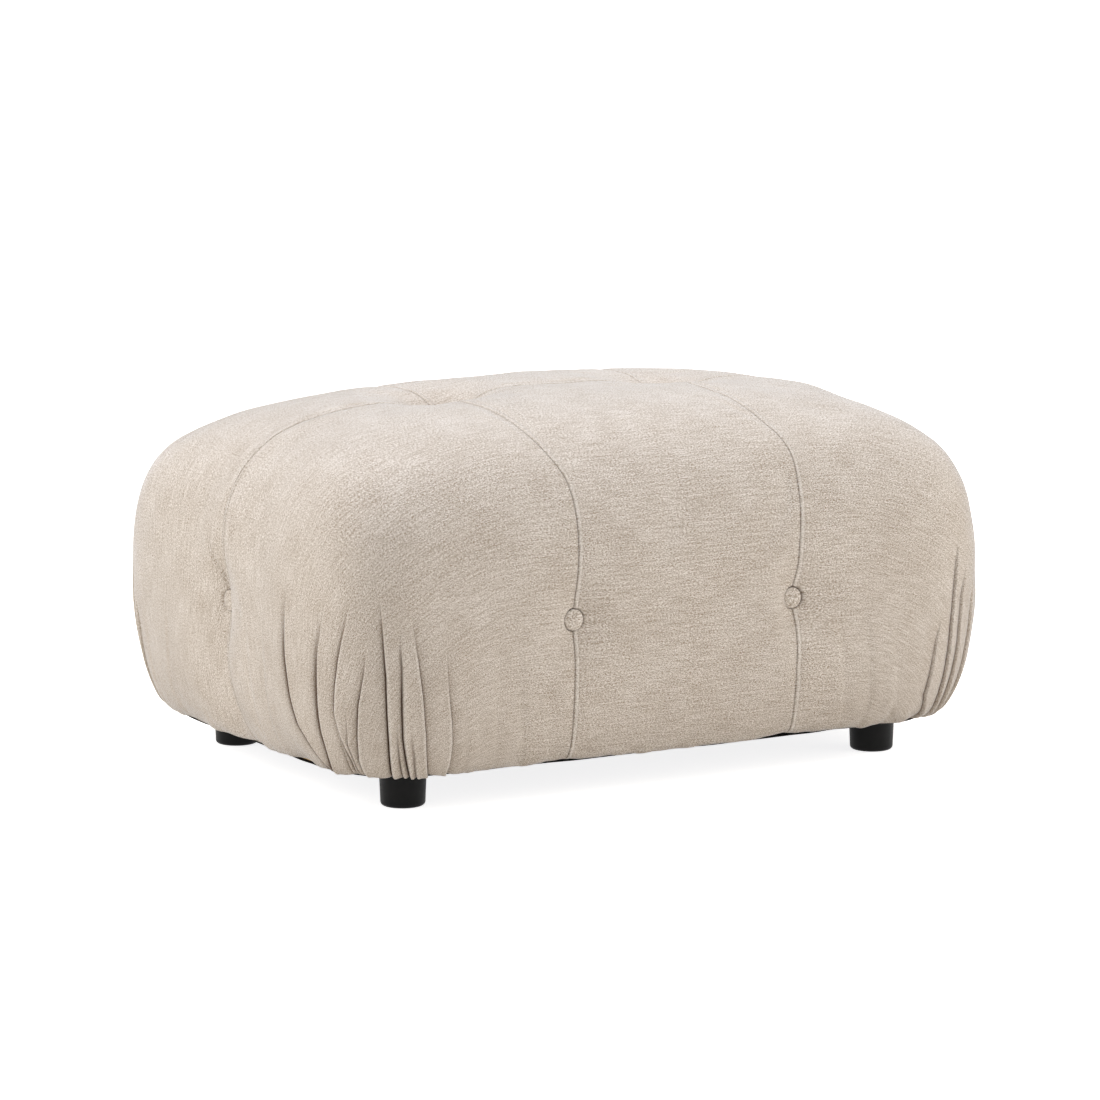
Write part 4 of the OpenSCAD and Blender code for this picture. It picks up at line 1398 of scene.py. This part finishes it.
    def plan(self, made: dict[str, np.ndarray]) -> tuple[np.ndarray, np.ndarray, np.ndarray,
                                                        np.ndarray]:
        """Joins the grids' points.

        Args:
            made: The grids, from surfaces().

        Returns:
            Faces with four corners, faces with three, the rim in order, and the point of the
            flat rectangle above each upright line.
        """
        nx, ny = made["flat"].shape[:2]
        nc, nr = made["side"].shape[:2]
        flat_id = np.arange(nx * ny).reshape(nx, ny)
        side_id = nx * ny + np.arange(nc * nr).reshape(nc, nr)
        first, last = made["corner"]
        if self.along is Along.MIDDLE:
            above = flat_id[:, -1]
        else:
            above = np.full(nc, flat_id[-1, -1])
            above[:first] = flat_id[:, -1]
            above[last:] = flat_id[-1, ::-1][:nc - last]
        quads = [np.stack([ids[:-1, :-1], ids[1:, :-1], ids[1:, 1:], ids[:-1, 1:]],
                          -1).reshape(-1, 4) for ids in (flat_id, side_id)]
        joined = np.stack([above[:-1], above[1:], side_id[1:, 0], side_id[:-1, 0]], -1)
        quads.append(joined[joined[:, 0] != joined[:, 1]])
        faces = np.concatenate(quads)
        fans = joined[joined[:, 0] == joined[:, 1]][:, [0, 2, 3]]
        rim = [flat_id[0, :], side_id[0, :], side_id[1:, -1]]
        if self.along is Along.MIDDLE:
            rim += [side_id[-1, -2::-1], flat_id[-1, ::-1], flat_id[-2:0:-1, 0]]
        else:
            rim += [side_id[-1, -2::-1], flat_id[:0:-1, 0]]
        rim = np.concatenate(rim)
        return faces, fans, rim, above

    def build(self, material: bpy.types.Material) -> bpy.types.Object:
        """Builds the panel's closed mesh.

        Args:
            material: Finish of the cloth.

        Returns:
            The new object.
        """
        s = self.shape
        made = self.surfaces()
        faces, fans, rim, _ = self.plan(made)
        outer, inner = self.joined(made, "", 3), self.joined(made, "_in", 3)
        for pts in (outer, inner):
            if self.along is Along.MIDDLE:
                pts[:, 0] = np.clip(pts[:, 0], -s.seam_x + self.seam_gap,
                                    s.seam_x - self.seam_gap)
            else:
                pts[:, 0] = np.maximum(pts[:, 0], s.seam_x + self.seam_gap)
            pts[:, 1] = np.minimum(pts[:, 1], -self.seam_gap)
        n = len(outer)
        level = self.joined(made, "_z")
        points = np.concatenate([p * self.mirror + self.drift(p, level)
                                 for p in (outer, inner)]) * MM
        loop = np.stack([rim, np.roll(rim, -1), np.roll(rim, -1) + n, rim + n], -1)
        if (self.mirror[0] * self.mirror[1]) > 0:
            four = np.concatenate([faces[:, ::-1], faces + n, loop])
            three = np.concatenate([fans[:, ::-1], fans + n])
        else:
            four = np.concatenate([faces, faces[:, ::-1] + n, loop[:, ::-1]])
            three = np.concatenate([fans, fans[:, ::-1] + n])
        uv = np.tile(self.joined(made, "_cloth", 2), (2, 1)) * self.mirror[:2] * MM
        panel = mesh_object(f"{self.name}_panel", points, four, three, uv, material)
        # painted shade in creases, seams and button rims, and painted highlights on lips and
        # allowances
        paint_shade_and_highlight(panel, np.tile(self.joined(made, "_shade"), 2))
        return panel


def paint_shade_and_highlight(obj: bpy.types.Object, values: np.ndarray) -> None:
    """Stores the painted shade at each point, and below zero the painted highlight."""
    layer = obj.data.attributes.new("painted_shade_and_highlight", "FLOAT", "POINT")
    layer.data.foreach_set("value", values.astype(np.float32))


def mesh_object(name: str, points: np.ndarray, four: np.ndarray, three: np.ndarray,
                uv: np.ndarray | None, material: bpy.types.Material | None
                ) -> bpy.types.Object:
    """Makes a smooth mesh object from arrays.

    Args:
        name: Name of the object.
        points: Vertices in metres.
        four: Faces with four corners.
        three: Faces with three corners.
        uv: Cloth coordinates of each vertex in metres, or None.
        material: Finish of all faces, or None.

    Returns:
        The new object, linked to the scene.
    """
    mesh = bpy.data.meshes.new(name)
    corners = np.concatenate([four.ravel(), three.ravel()]).astype(np.int32)
    sizes = np.concatenate([np.full(len(four), 4), np.full(len(three), 3)]).astype(np.int32)
    mesh.vertices.add(len(points))
    mesh.vertices.foreach_set("co", points.astype(np.float32).ravel())
    mesh.loops.add(len(corners))
    mesh.loops.foreach_set("vertex_index", corners)
    mesh.polygons.add(len(sizes))
    starts = np.concatenate([[0], np.cumsum(sizes)[:-1]]).astype(np.int32)
    mesh.polygons.foreach_set("loop_start", starts)
    mesh.polygons.foreach_set("use_smooth", np.ones(len(sizes), dtype=bool))
    mesh.update(calc_edges=True)
    if uv is not None:
        layer = mesh.uv_layers.new(name="drape")
        layer.data.foreach_set("uv", uv[corners].astype(np.float32).ravel())
    mesh.validate()
    if material is not None:
        mesh.materials.append(material)
    made = bpy.data.objects.new(name, mesh)
    bpy.context.scene.collection.objects.link(made)
    return made


@dataclass
class Stuffing:
    """Cloth simulation that settles each panel over its wadding.

    The panel is held at its seams, hem and buttons, and pressed out from within.
    """

    step: float = 8.5
    frames: int = 18
    pressure: float = 1.6
    slack: float = 0.004
    start_in: float = 2.3
    held_round: float = 15.0
    cap: float = 2.4
    full_start: float = 45.0
    full_move: float = 12.0

    def held(self, panel: CoverPanel, points: np.ndarray, level: np.ndarray,
             rim: np.ndarray) -> np.ndarray:
        """Tells which points are held.

        Args:
            panel: The simulated panel.
            points: Its points, in the worked-out quarter.
            level: Height of each point on the section.
            rim: Points of the panel's edge.

        Returns:
            True for each held point.
        """
        held = level < panel.shape.hem_z + 3
        held[rim] = True
        long_button, end_button, top = panel.relief.button_points()
        at = np.stack([np.abs(points[:, 0]), points[:, 1], points[:, 2]], -1)
        for axis, spot, there in (
                (1, long_button, at[:, 1] < long_button[1] + panel.relief.face_reach),
                (0, end_button, at[:, 0] > end_button[0] - panel.relief.face_reach),
                (2, top, at[:, 2] > panel.relief.top_z)):
            away = at - spot
            away[:, axis] = 0
            held |= there & (np.linalg.norm(away, axis=1) < self.held_round)
        return held

    def settle(self, panel: CoverPanel) -> Settling:
        """Simulates a coarse copy of a panel.

        Args:
            panel: The panel to settle.

        Returns:
            How far the simulation moved it.
        """
        coarse = replace(panel, step=self.step, folds=())
        made = coarse.surfaces()
        four, three, rim, above = coarse.plan(made)
        points = coarse.joined(made, "", 3)
        held = self.held(panel, points, coarse.joined(made, "_z"), rim)
        sheet = mesh_object("cover_trial", points * MM, four[:, ::-1], three[:, ::-1], None,
                            None)
        out = np.zeros(points.size, dtype=np.float32)
        sheet.data.vertices.foreach_get("normal", out)
        gaps = np.linalg.norm(points[:, None] - points[held][None], axis=-1).min(1)
        inward = self.start_in * smooth(part_of(gaps, self.full_start))
        start = points - out.reshape(-1, 3) * inward[:, None]
        sheet.data.vertices.foreach_set("co", (start * MM).astype(np.float32).ravel())
        group = sheet.vertex_groups.new(name="sewn")
        group.add([int(i) for i in np.flatnonzero(held)], 1.0, "REPLACE")
        cloth = sheet.modifiers.new("drape", "CLOTH")
        cloth.collision_settings.use_collision = False
        cloth.point_cache.frame_end = self.frames
        for name, value in (("vertex_group_mass", "sewn"), ("quality", 6), ("mass", 0.3),
                            ("tension_stiffness", 18.0), ("compression_stiffness", 18.0),
                            ("shear_stiffness", 6.0), ("bending_stiffness", 1.5),
                            ("shrink_min", -self.slack), ("use_pressure", True),
                            ("uniform_pressure_force", self.pressure)):
            setattr(cloth.settings, name, value)
        cloth.settings.effector_weights.gravity = 0.0
        scene = bpy.context.scene
        for frame_number in range(1, self.frames + 1):
            scene.frame_set(frame_number)
        shaped = sheet.evaluated_get(bpy.context.evaluated_depsgraph_get()).data
        found = np.zeros(points.size, dtype=np.float32)
        shaped.vertices.foreach_get("co", found)
        move = found.reshape(-1, 3) / MM - points
        far = np.linalg.norm(move, axis=1, keepdims=True)
        move *= self.cap * np.tanh(far / self.cap) / np.maximum(far, 1e-6)
        move *= part_of(gaps, self.full_move)[:, None]
        LOG.info("%s settled: mean %.2f mm, most %.2f mm", panel.name,
                 float((move * out.reshape(-1, 3)).sum(1).mean()), float(far.max()))
        bpy.data.objects.remove(sheet)
        scene.frame_set(1)
        count = made["flat"].shape[0] * made["flat"].shape[1]
        side = move[count:].reshape(made["side"].shape)
        side = np.concatenate([move[above][:, None], side], 1)
        return Settling(made["x"], made["y"], made["columns"][:, 0],
                        np.concatenate([[0], made["w"]]),
                        move[:count].reshape(made["flat"].shape), side)


# Hard pieces


def select_only(obj: bpy.types.Object) -> None:
    """Makes one object the only selected and active one."""
    bpy.ops.object.select_all(action="DESELECT")
    obj.select_set(True)
    bpy.context.view_layer.objects.active = obj


def bake_place(obj: bpy.types.Object) -> None:
    """Puts an object's place into its mesh, so that it sits at the origin."""
    select_only(obj)
    bpy.ops.object.transform_apply(location=True, rotation=True, scale=True)


def copy_at(obj: bpy.types.Object, name: str, matrix: Matrix) -> bpy.types.Object:
    """Copies an object with its own mesh, placed by a matrix.

    Args:
        obj: Object to copy.
        name: Name of the copy.
        matrix: Turn and place of the copy.

    Returns:
        The copy, at the origin.
    """
    made = bpy.data.objects.new(name, obj.data.copy())
    made.data.transform(matrix)
    made.data.update()
    bpy.context.scene.collection.objects.link(made)
    return made


def select_faces(obj: bpy.types.Object, test) -> None:
    """Selects the faces of an object in edit mode whose centre and normal pass a test.

    Args:
        obj: Object in edit mode.
        test: Function of a face's centre and normal.
    """
    bpy.ops.mesh.select_all(action="DESELECT")
    bpy.ops.object.mode_set(mode="OBJECT")
    for face in obj.data.polygons:
        face.select = bool(test(face.center, face.normal))
    bpy.ops.object.mode_set(mode="EDIT")


@dataclass
class CoveredButton:
    """A cloth-covered button: low dome, rolled rim, and the cloth drawn in behind it.

    Each ring of the dome is the last one's size times the first number, and rises by the
    second as a share of the thickness.
    """

    diameter: float = 23.8
    thick: float = 7.0
    segments: int = 48
    rings: tuple[tuple[float, float], ...] = (
        (1.13, 0.10), (1.03, 0.14), (0.985, 0.14), (0.965, 0.1), (0.93, 0.09), (0.87, 0.06),
        (0.8, 0.05), (0.8, 0.04), (0.8, 0.03), (0.8, 0.02))
    # strength of the painted shade on the lower side of the rim
    rim_dark: float = 0.6

    def model(self, material: bpy.types.Material) -> bpy.types.Object:
        """Models one button that faces up, with its back at the origin."""
        r = self.diameter / 2 * MM
        h = self.thick * MM
        bpy.ops.object.select_all(action="DESELECT")
        bpy.ops.mesh.primitive_cylinder_add(vertices=self.segments, radius=r * 0.86,
                                            depth=h * 0.22, location=(0, 0, h * 0.11))
        button = bpy.context.object
        button.name = "button_pattern"
        bpy.ops.object.mode_set(mode="EDIT")
        bpy.ops.mesh.select_mode(type="FACE")
        for scale, rise in self.rings:
            # the first choice also writes the last ring's faces back, so that top is read
            select_faces(button, lambda c, n: n.z > 0.9 and c.z > h * 0.2)
            top = max(f.center.z for f in button.data.polygons)
            select_faces(button, lambda c, n, top=top: n.z > 0.9 and c.z > top - 1e-6)
            bpy.ops.mesh.extrude_region_move(TRANSFORM_OT_translate={
                "value": (0, 0, h * rise)})
            bpy.ops.transform.resize(value=(scale, scale, 1))
        bpy.ops.object.mode_set(mode="OBJECT")
        select_only(button)
        bpy.ops.object.shade_smooth_by_angle(angle=math.radians(50))
        button.data.materials.clear()
        button.data.materials.append(material)
        bake_place(button)
        rise = np.array([v.co.z for v in button.data.vertices]) / h
        # painted shade on the lower side of the rim draws a thin dark outline
        paint_shade_and_highlight(button, self.rim_dark * part_of(0.5 - rise, 0.12))
        return button


@dataclass
class Foot:
    """A round moulded foot: slight taper, rounded lower edge, hollow underside."""

    height: float = 42.0
    top_d: float = 53.0
    base_d: float = 49.5
    rounding: float = 4.2
    wall: float = 5.0
    hollow: float = 1.2
    segments: int = 72

    def model(self, material: bpy.types.Material) -> bpy.types.Object:
        """Models one foot that stands on the origin."""
        h, rt, rb = self.height * MM, self.top_d / 2 * MM, self.base_d / 2 * MM
        bpy.ops.object.select_all(action="DESELECT")
        bpy.ops.mesh.primitive_cylinder_add(vertices=self.segments, radius=rt, depth=h,
                                            location=(0, 0, h / 2))
        foot = bpy.context.object
        foot.name = "foot_pattern"
        bpy.ops.object.mode_set(mode="EDIT")
        bpy.ops.mesh.select_mode(type="FACE")
        select_faces(foot, lambda c, n: n.z < -0.9)
        bpy.ops.transform.resize(value=(rb / rt, rb / rt, 1))
        bpy.ops.mesh.bevel(offset=self.rounding * MM, segments=7, affect="EDGES")
        select_faces(foot, lambda c, n: n.z < -0.9 and c.xy.length < rb * 0.5)
        bpy.ops.mesh.inset(thickness=self.wall * MM, depth=0)
        bpy.ops.mesh.inset(thickness=0.8 * MM, depth=-self.hollow * MM)
        select_faces(foot, lambda c, n: n.z > 0.9)
        bpy.ops.mesh.bevel(offset=1.0 * MM, segments=3, affect="EDGES")
        bpy.ops.object.mode_set(mode="OBJECT")
        select_only(foot)
        bpy.ops.object.shade_smooth_by_angle(angle=math.radians(35))
        foot.data.materials.clear()
        foot.data.materials.append(material)
        bake_place(foot)
        return foot


@dataclass
class DustCover:
    """The black lining under the seat: a thin sheet with a folded, uneven edge."""

    shape: SeatShape
    inset: float = 8.5
    level: float = 42.5
    droop: float = 3.2
    taut: float = 0.7
    cloth: float = 0.5
    rings: int = 26

    def outline(self, inset: float) -> np.ndarray:
        """Gives the closed outline at a distance inside the hem."""
        s = self.shape
        r = np.array([s.edge_reach - s.tuck_in - inset])
        z = np.array([s.hem_z])
        half = np.linspace(-s.seam_x, s.seam_x, 60)[1:-1]
        t = np.linspace(0, s.round_length, 170)
        col = s.columns(t)
        corner = s.place(col, np.repeat(r, len(t)), np.repeat(z, len(t)))[:, :2]
        edge_y = corner[0, 1]
        middle = np.stack([half, np.full(len(half), edge_y)], -1)
        quarter = corner[1:-1]
        front = np.concatenate([quarter[::-1] * [-1, 1], middle, quarter])
        return np.concatenate([front, (front * [1, -1])[::-1]])

    def build(self, material: bpy.types.Material) -> tuple[bpy.types.Object, float]:
        """Builds the sheet.

        Args:
            material: Finish of the lining.

        Returns:
            The object and the flat area of its cut in square metres.
        """
        rim = self.outline(self.inset)
        count = len(rim)
        angle = np.arange(count) / count * 2 * math.pi
        rng = np.random.default_rng(5)
        wave = sum(rng.uniform(0.4, 1) * np.sin(k * angle + rng.uniform(0, 6.28))
                   for k in (9, 14, 22, 31, 47))
        wave = (wave - wave.min()) / (wave.max() - wave.min())
        # the lining hangs slack along the front's right part and at the left end
        slack = part_of(rim[:, 0] + 190, 60) * (rim[:, 1] < 0)
        slack = np.maximum(slack, 0.55 * (rim[:, 0] < -380) * bell(rim[:, 1] + 100, 60))
        droop = self.taut + (self.droop - self.taut) * slack
        shares = np.concatenate([np.linspace(0.0, 0.9, self.rings - 8),
                                 np.linspace(0.92, 1.0, 8)])[1:]
        points, ids = [np.array([[0, 0, self.level]])], []
        for share in shares:
            ids.append(1 + len(ids) * count + np.arange(count))
            edge = part_of(share - 0.93, 0.07)
            sag = droop * (0.25 + 0.75 * wave) * np.sin(edge * math.pi * 0.62)
            ring = rim * share
            points.append(np.stack([ring[:, 0], ring[:, 1], self.level - sag], -1))
        points = np.concatenate(points)
        four = np.concatenate([np.stack([a, np.roll(a, -1), np.roll(b, -1), b], -1)
                               for a, b in zip(ids[:-1], ids[1:])])
        three = np.stack([np.zeros(count, int), np.roll(ids[0], -1), ids[0]], -1)
        n = len(points)
        top = points + [0, 0, self.cloth]
        last = ids[-1]
        band = np.stack([last, np.roll(last, -1), np.roll(last, -1) + n, last + n], -1)
        every = np.concatenate([points, top]) * MM
        made = mesh_object("dust_cover_sheet", every,
                           np.concatenate([four, four[:, ::-1] + n, band]),
                           np.concatenate([three, three[:, ::-1] + n]), None, material)
        x, y = rim[:, 0], rim[:, 1]
        area = 0.5 * abs(np.sum(x * np.roll(y, -1) - y * np.roll(x, -1))) * MM * MM
        return made, float(area)


# The whole object


@dataclass
class Pouf:
    """The pouf: its cover, buttons, feet, underside and the frame within."""

    shape: SeatShape = field(default_factory=SeatShape)
    button_sunk: tuple[float, float, float] = (1.4, 1.4, 5.4)
    # share of the painted rim shade that the end buttons keep
    end_rim_dark: float = 0.35
    pieces: list[bpy.types.Object] = field(default_factory=list)

    def keep(self, obj: bpy.types.Object, slot: str, *nodes: str) -> bpy.types.Object:
        """Lets a piece ride on the part, and hides the solids of the nodes that it stands for."""
        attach(obj, ROOT)
        if nodes:
            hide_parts(*nodes)
        self.pieces.append(obj)
        LOG.info("%s stands for %s", obj.name, ", ".join(nodes) or "nothing in the solids")
        return obj

    def sew_cover(self) -> None:
        """Builds the six cover panels."""
        cloth = Chenille().make("chenille_oatmeal")
        relief = CoverRelief(self.shape)
        corners = {(Along.LEFT, True): NEAR_CORNER, (Along.RIGHT, True): RIGHT_CORNER,
                   (Along.LEFT, False): HIDDEN_CORNER + END_PULL,
                   (Along.RIGHT, False): HIDDEN_CORNER}
        for front in (True, False):
            for along in Along:
                panel = CoverPanel(self.shape, relief, along, front,
                                   corners.get((along, front), ()))
                panel.settling = Stuffing().settle(panel)
                made = panel.build(cloth)
                self.keep(made, "cover_fabric", panel.name)

    def set_buttons(self) -> None:
        """Copies the covered button to the seats of the buttons."""
        cloth = Chenille(grain=Grain.SOLID).make("chenille_button")
        pattern = CoveredButton().model(cloth)
        relief = CoverRelief(self.shape)
        for node in sorted(n for n in frame["nodes"] if n.startswith("button_")):
            low, high = (Vector(v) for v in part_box(node))
            centre, size = (low + high) / 2, high - low
            thin = min(range(3), key=lambda i: size[i])
            way = Vector((0, 0, 0))
            way[thin] = 1.0 if thin == 2 or centre[thin] > 0 else -1.0
            kind = (1, 0, 2)[thin]
            spot = relief.button_points()[kind]
            panel = CoverPanel(self.shape, relief,
                               Along.LEFT if centre.x < 0 else Along.RIGHT, centre.y <= 0)
            depth = relief.broad(spot[None])[0] + sum(
                swell.value((spot * panel.mirror)[None])[0] for swell in relief.swells)
            back = centre.copy()
            back[thin] = way[thin] * MM * (
                abs(spot[thin]) - float(depth) - self.button_sunk[kind])
            place = np.array(centre)[None] / MM * panel.mirror
            back += Vector(panel.drift(place, np.array([centre.z / MM]))[0] * MM)
            turn = way.to_track_quat("Z", "Y").to_matrix().to_4x4()
            made = copy_at(pattern, f"{node}_covered", Matrix.Translation(back) @ turn)
            # the end buttons keep less of the painted rim shade
            for row in made.data.attributes["painted_shade_and_highlight"].data if kind == 1 else ():
                row.value *= self.end_rim_dark
            self.keep(made, "button_fabric", node)
        bpy.data.objects.remove(pattern)

    def screw_feet(self) -> None:
        """Copies the moulded foot to the four corners."""
        plastic = MouldedPlastic().make("polypropylene_black")
        pattern = Foot().model(plastic)
        for node in sorted(n for n in frame["nodes"] if n.startswith("foot_")
                           and n != "foot_bolts"):
            low, high = (Vector(v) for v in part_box(node))
            place = Vector(((low.x + high.x) / 2, (low.y + high.y) / 2, low.z))
            made = copy_at(pattern, f"{node}_moulded", Matrix.Translation(place))
            self.keep(made, "foot_plastic", node)
        bpy.data.objects.remove(pattern)

    def close_underside(self) -> None:
        """Builds the dust cover."""
        made, area = DustCover(self.shape).build(SPUN_LINING.make("spun_lining_black"))
        self.keep(made, "dust_cloth", "dust_cover")

    def dress_frame(self) -> None:
        """Gives the frame, foam, webbing and hardware within their finishes."""
        finishes = {key: finish.make(name) for key, (name, finish) in INNER_FINISHES.items()}
        slots = {row["node"]: row["material_slot"] for row in frame["record"]["subparts"]}
        for name, obj in frame["nodes"].items():
            finish = finishes.get(slots.get(name, ""))
            if finish is None:
                continue
            if not obj.material_slots:
                obj.data.materials.append(finish)
            for place in obj.material_slots:
                place.material = finish
            LOG.info("%s keeps its solid, finished as %s", name, finish.name)


@dataclass
class Studio:
    """Pale floor, soft lamps and the camera at the photograph's angle."""

    floor_size: float = 80.0
    eye: tuple[float, float, float] = (-2.82444, -4.81015, 1.11934)
    turn_deg: float = 30.3827
    tilt_deg: float = 9.0514
    lens: float = 159.39

    def lay_floor(self) -> None:
        """Lays the floor, which shows nearly white and keeps the object's shadow."""
        bpy.ops.object.select_all(action="DESELECT")
        bpy.ops.mesh.primitive_plane_add(size=self.floor_size, location=(0, 0, 0))
        floor = bpy.context.object
        floor.name = "floor"
        material, tree, shader = new_material("floor_white")
        feed(tree, shader, {"Base Color": "#f1ede6", "Roughness": 0.9,
                            "Specular IOR Level": 0.1})
        glow = add_node(tree, "ShaderNodeEmission", {"Strength": 0.84, "Color": "#fefeff"})
        path = add_node(tree, "ShaderNodeLightPath")
        seen = add_node(tree, "ShaderNodeMath", {"operation": "MAXIMUM"},
                        {0: path.outputs["Is Camera Ray"], 1: path.outputs["Is Glossy Ray"]})
        both = add_node(tree, "ShaderNodeAddShader",
                        links={0: shader.outputs["BSDF"], 1: glow.outputs["Emission"]})
        mix = add_node(tree, "ShaderNodeMixShader",
                       links={0: seen.outputs[0], 1: shader.outputs["BSDF"],
                              2: both.outputs["Shader"]})
        out = next(n for n in tree.nodes if n.type == "OUTPUT_MATERIAL")
        tree.links.new(mix.outputs["Shader"], out.inputs["Surface"])
        floor.data.materials.append(material)

    def hang_lamps(self) -> None:
        """Hangs the soft lamps and sets the pale surroundings."""
        for name, place, size, power, tint in (
                ("key", (-2.95, 1.0, 2.0), 2.4, 56.0, "#fffefb"),
                ("fill", (2.8, -2.2, 1.5), 3.0, 57.0, "#fffdf9"),
                ("back", (0.3, 2.3, 2.8), 3.0, 32.0, "#eff4ff"),
                ("top", (0.1, 0.2, 3.1), 3.0, 54.5, "#edf3ff")):
            lamp = bpy.data.lights.new(name, "AREA")
            lamp.energy = power
            lamp.color = hex_linear(tint)[:3]
            lamp.shape = "DISK"
            lamp.size = size
            holder = bpy.data.objects.new(name, lamp)
            holder.location = place
            aim = Vector((0, 0, 0.2)) - Vector(place)
            holder.rotation_euler = aim.to_track_quat("-Z", "Y").to_euler()
            bpy.context.scene.collection.objects.link(holder)
        world = bpy.data.worlds.new("surroundings")
        world.use_nodes = True
        tree = world.node_tree
        tree.nodes.clear()
        soft, white = (add_node(tree, "ShaderNodeBackground",
                                {"Strength": strength, "Color": "#ffffff"})
                       for strength in (0.45, 1.0))
        path = add_node(tree, "ShaderNodeLightPath")
        mix = add_node(tree, "ShaderNodeMixShader",
                       links={0: path.outputs["Is Camera Ray"], 1: soft.outputs[0],
                              2: white.outputs[0]})
        add_node(tree, "ShaderNodeOutputWorld", links={"Surface": mix.outputs[0]})
        bpy.context.scene.world = world

    def set_camera(self) -> None:
        """Sets the camera at the photograph's viewing angle."""
        turn, tilt = math.radians(self.turn_deg), math.radians(self.tilt_deg)
        ahead = Vector((math.sin(turn) * math.cos(tilt), math.cos(turn) * math.cos(tilt),
                        -math.sin(tilt)))
        right = Vector((math.cos(turn), -math.sin(turn), 0))
        up = right.cross(ahead)
        data = bpy.data.cameras.new("camera")
        data.lens = self.lens
        data.sensor_width = 36.0
        data.clip_start, data.clip_end = 0.1, 200.0
        camera = bpy.data.objects.new("camera", data)
        camera.matrix_world = Matrix((
            (right.x, up.x, -ahead.x, self.eye[0]), (right.y, up.y, -ahead.y, self.eye[1]),
            (right.z, up.z, -ahead.z, self.eye[2]), (0, 0, 0, 1)))
        bpy.context.scene.collection.objects.link(camera)
        bpy.context.scene.camera = camera

    def light_plainly(self) -> None:
        """Shows colours as they are written."""
        bpy.context.scene.view_settings.view_transform = "Standard"


def main() -> None:
    """Builds the studio and the pouf in order."""
    logging.basicConfig(level=logging.INFO, format="%(name)s: %(message)s")
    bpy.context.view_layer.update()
    studio = Studio()
    studio.set_camera()
    studio.lay_floor()
    studio.hang_lamps()
    studio.light_plainly()
    pouf = Pouf()
    pouf.sew_cover()
    pouf.set_buttons()
    pouf.screw_feet()
    pouf.close_underside()
    pouf.dress_frame()
    LOG.info("%d pieces made", len(pouf.pieces))


if __name__ == "__main__":
    main()
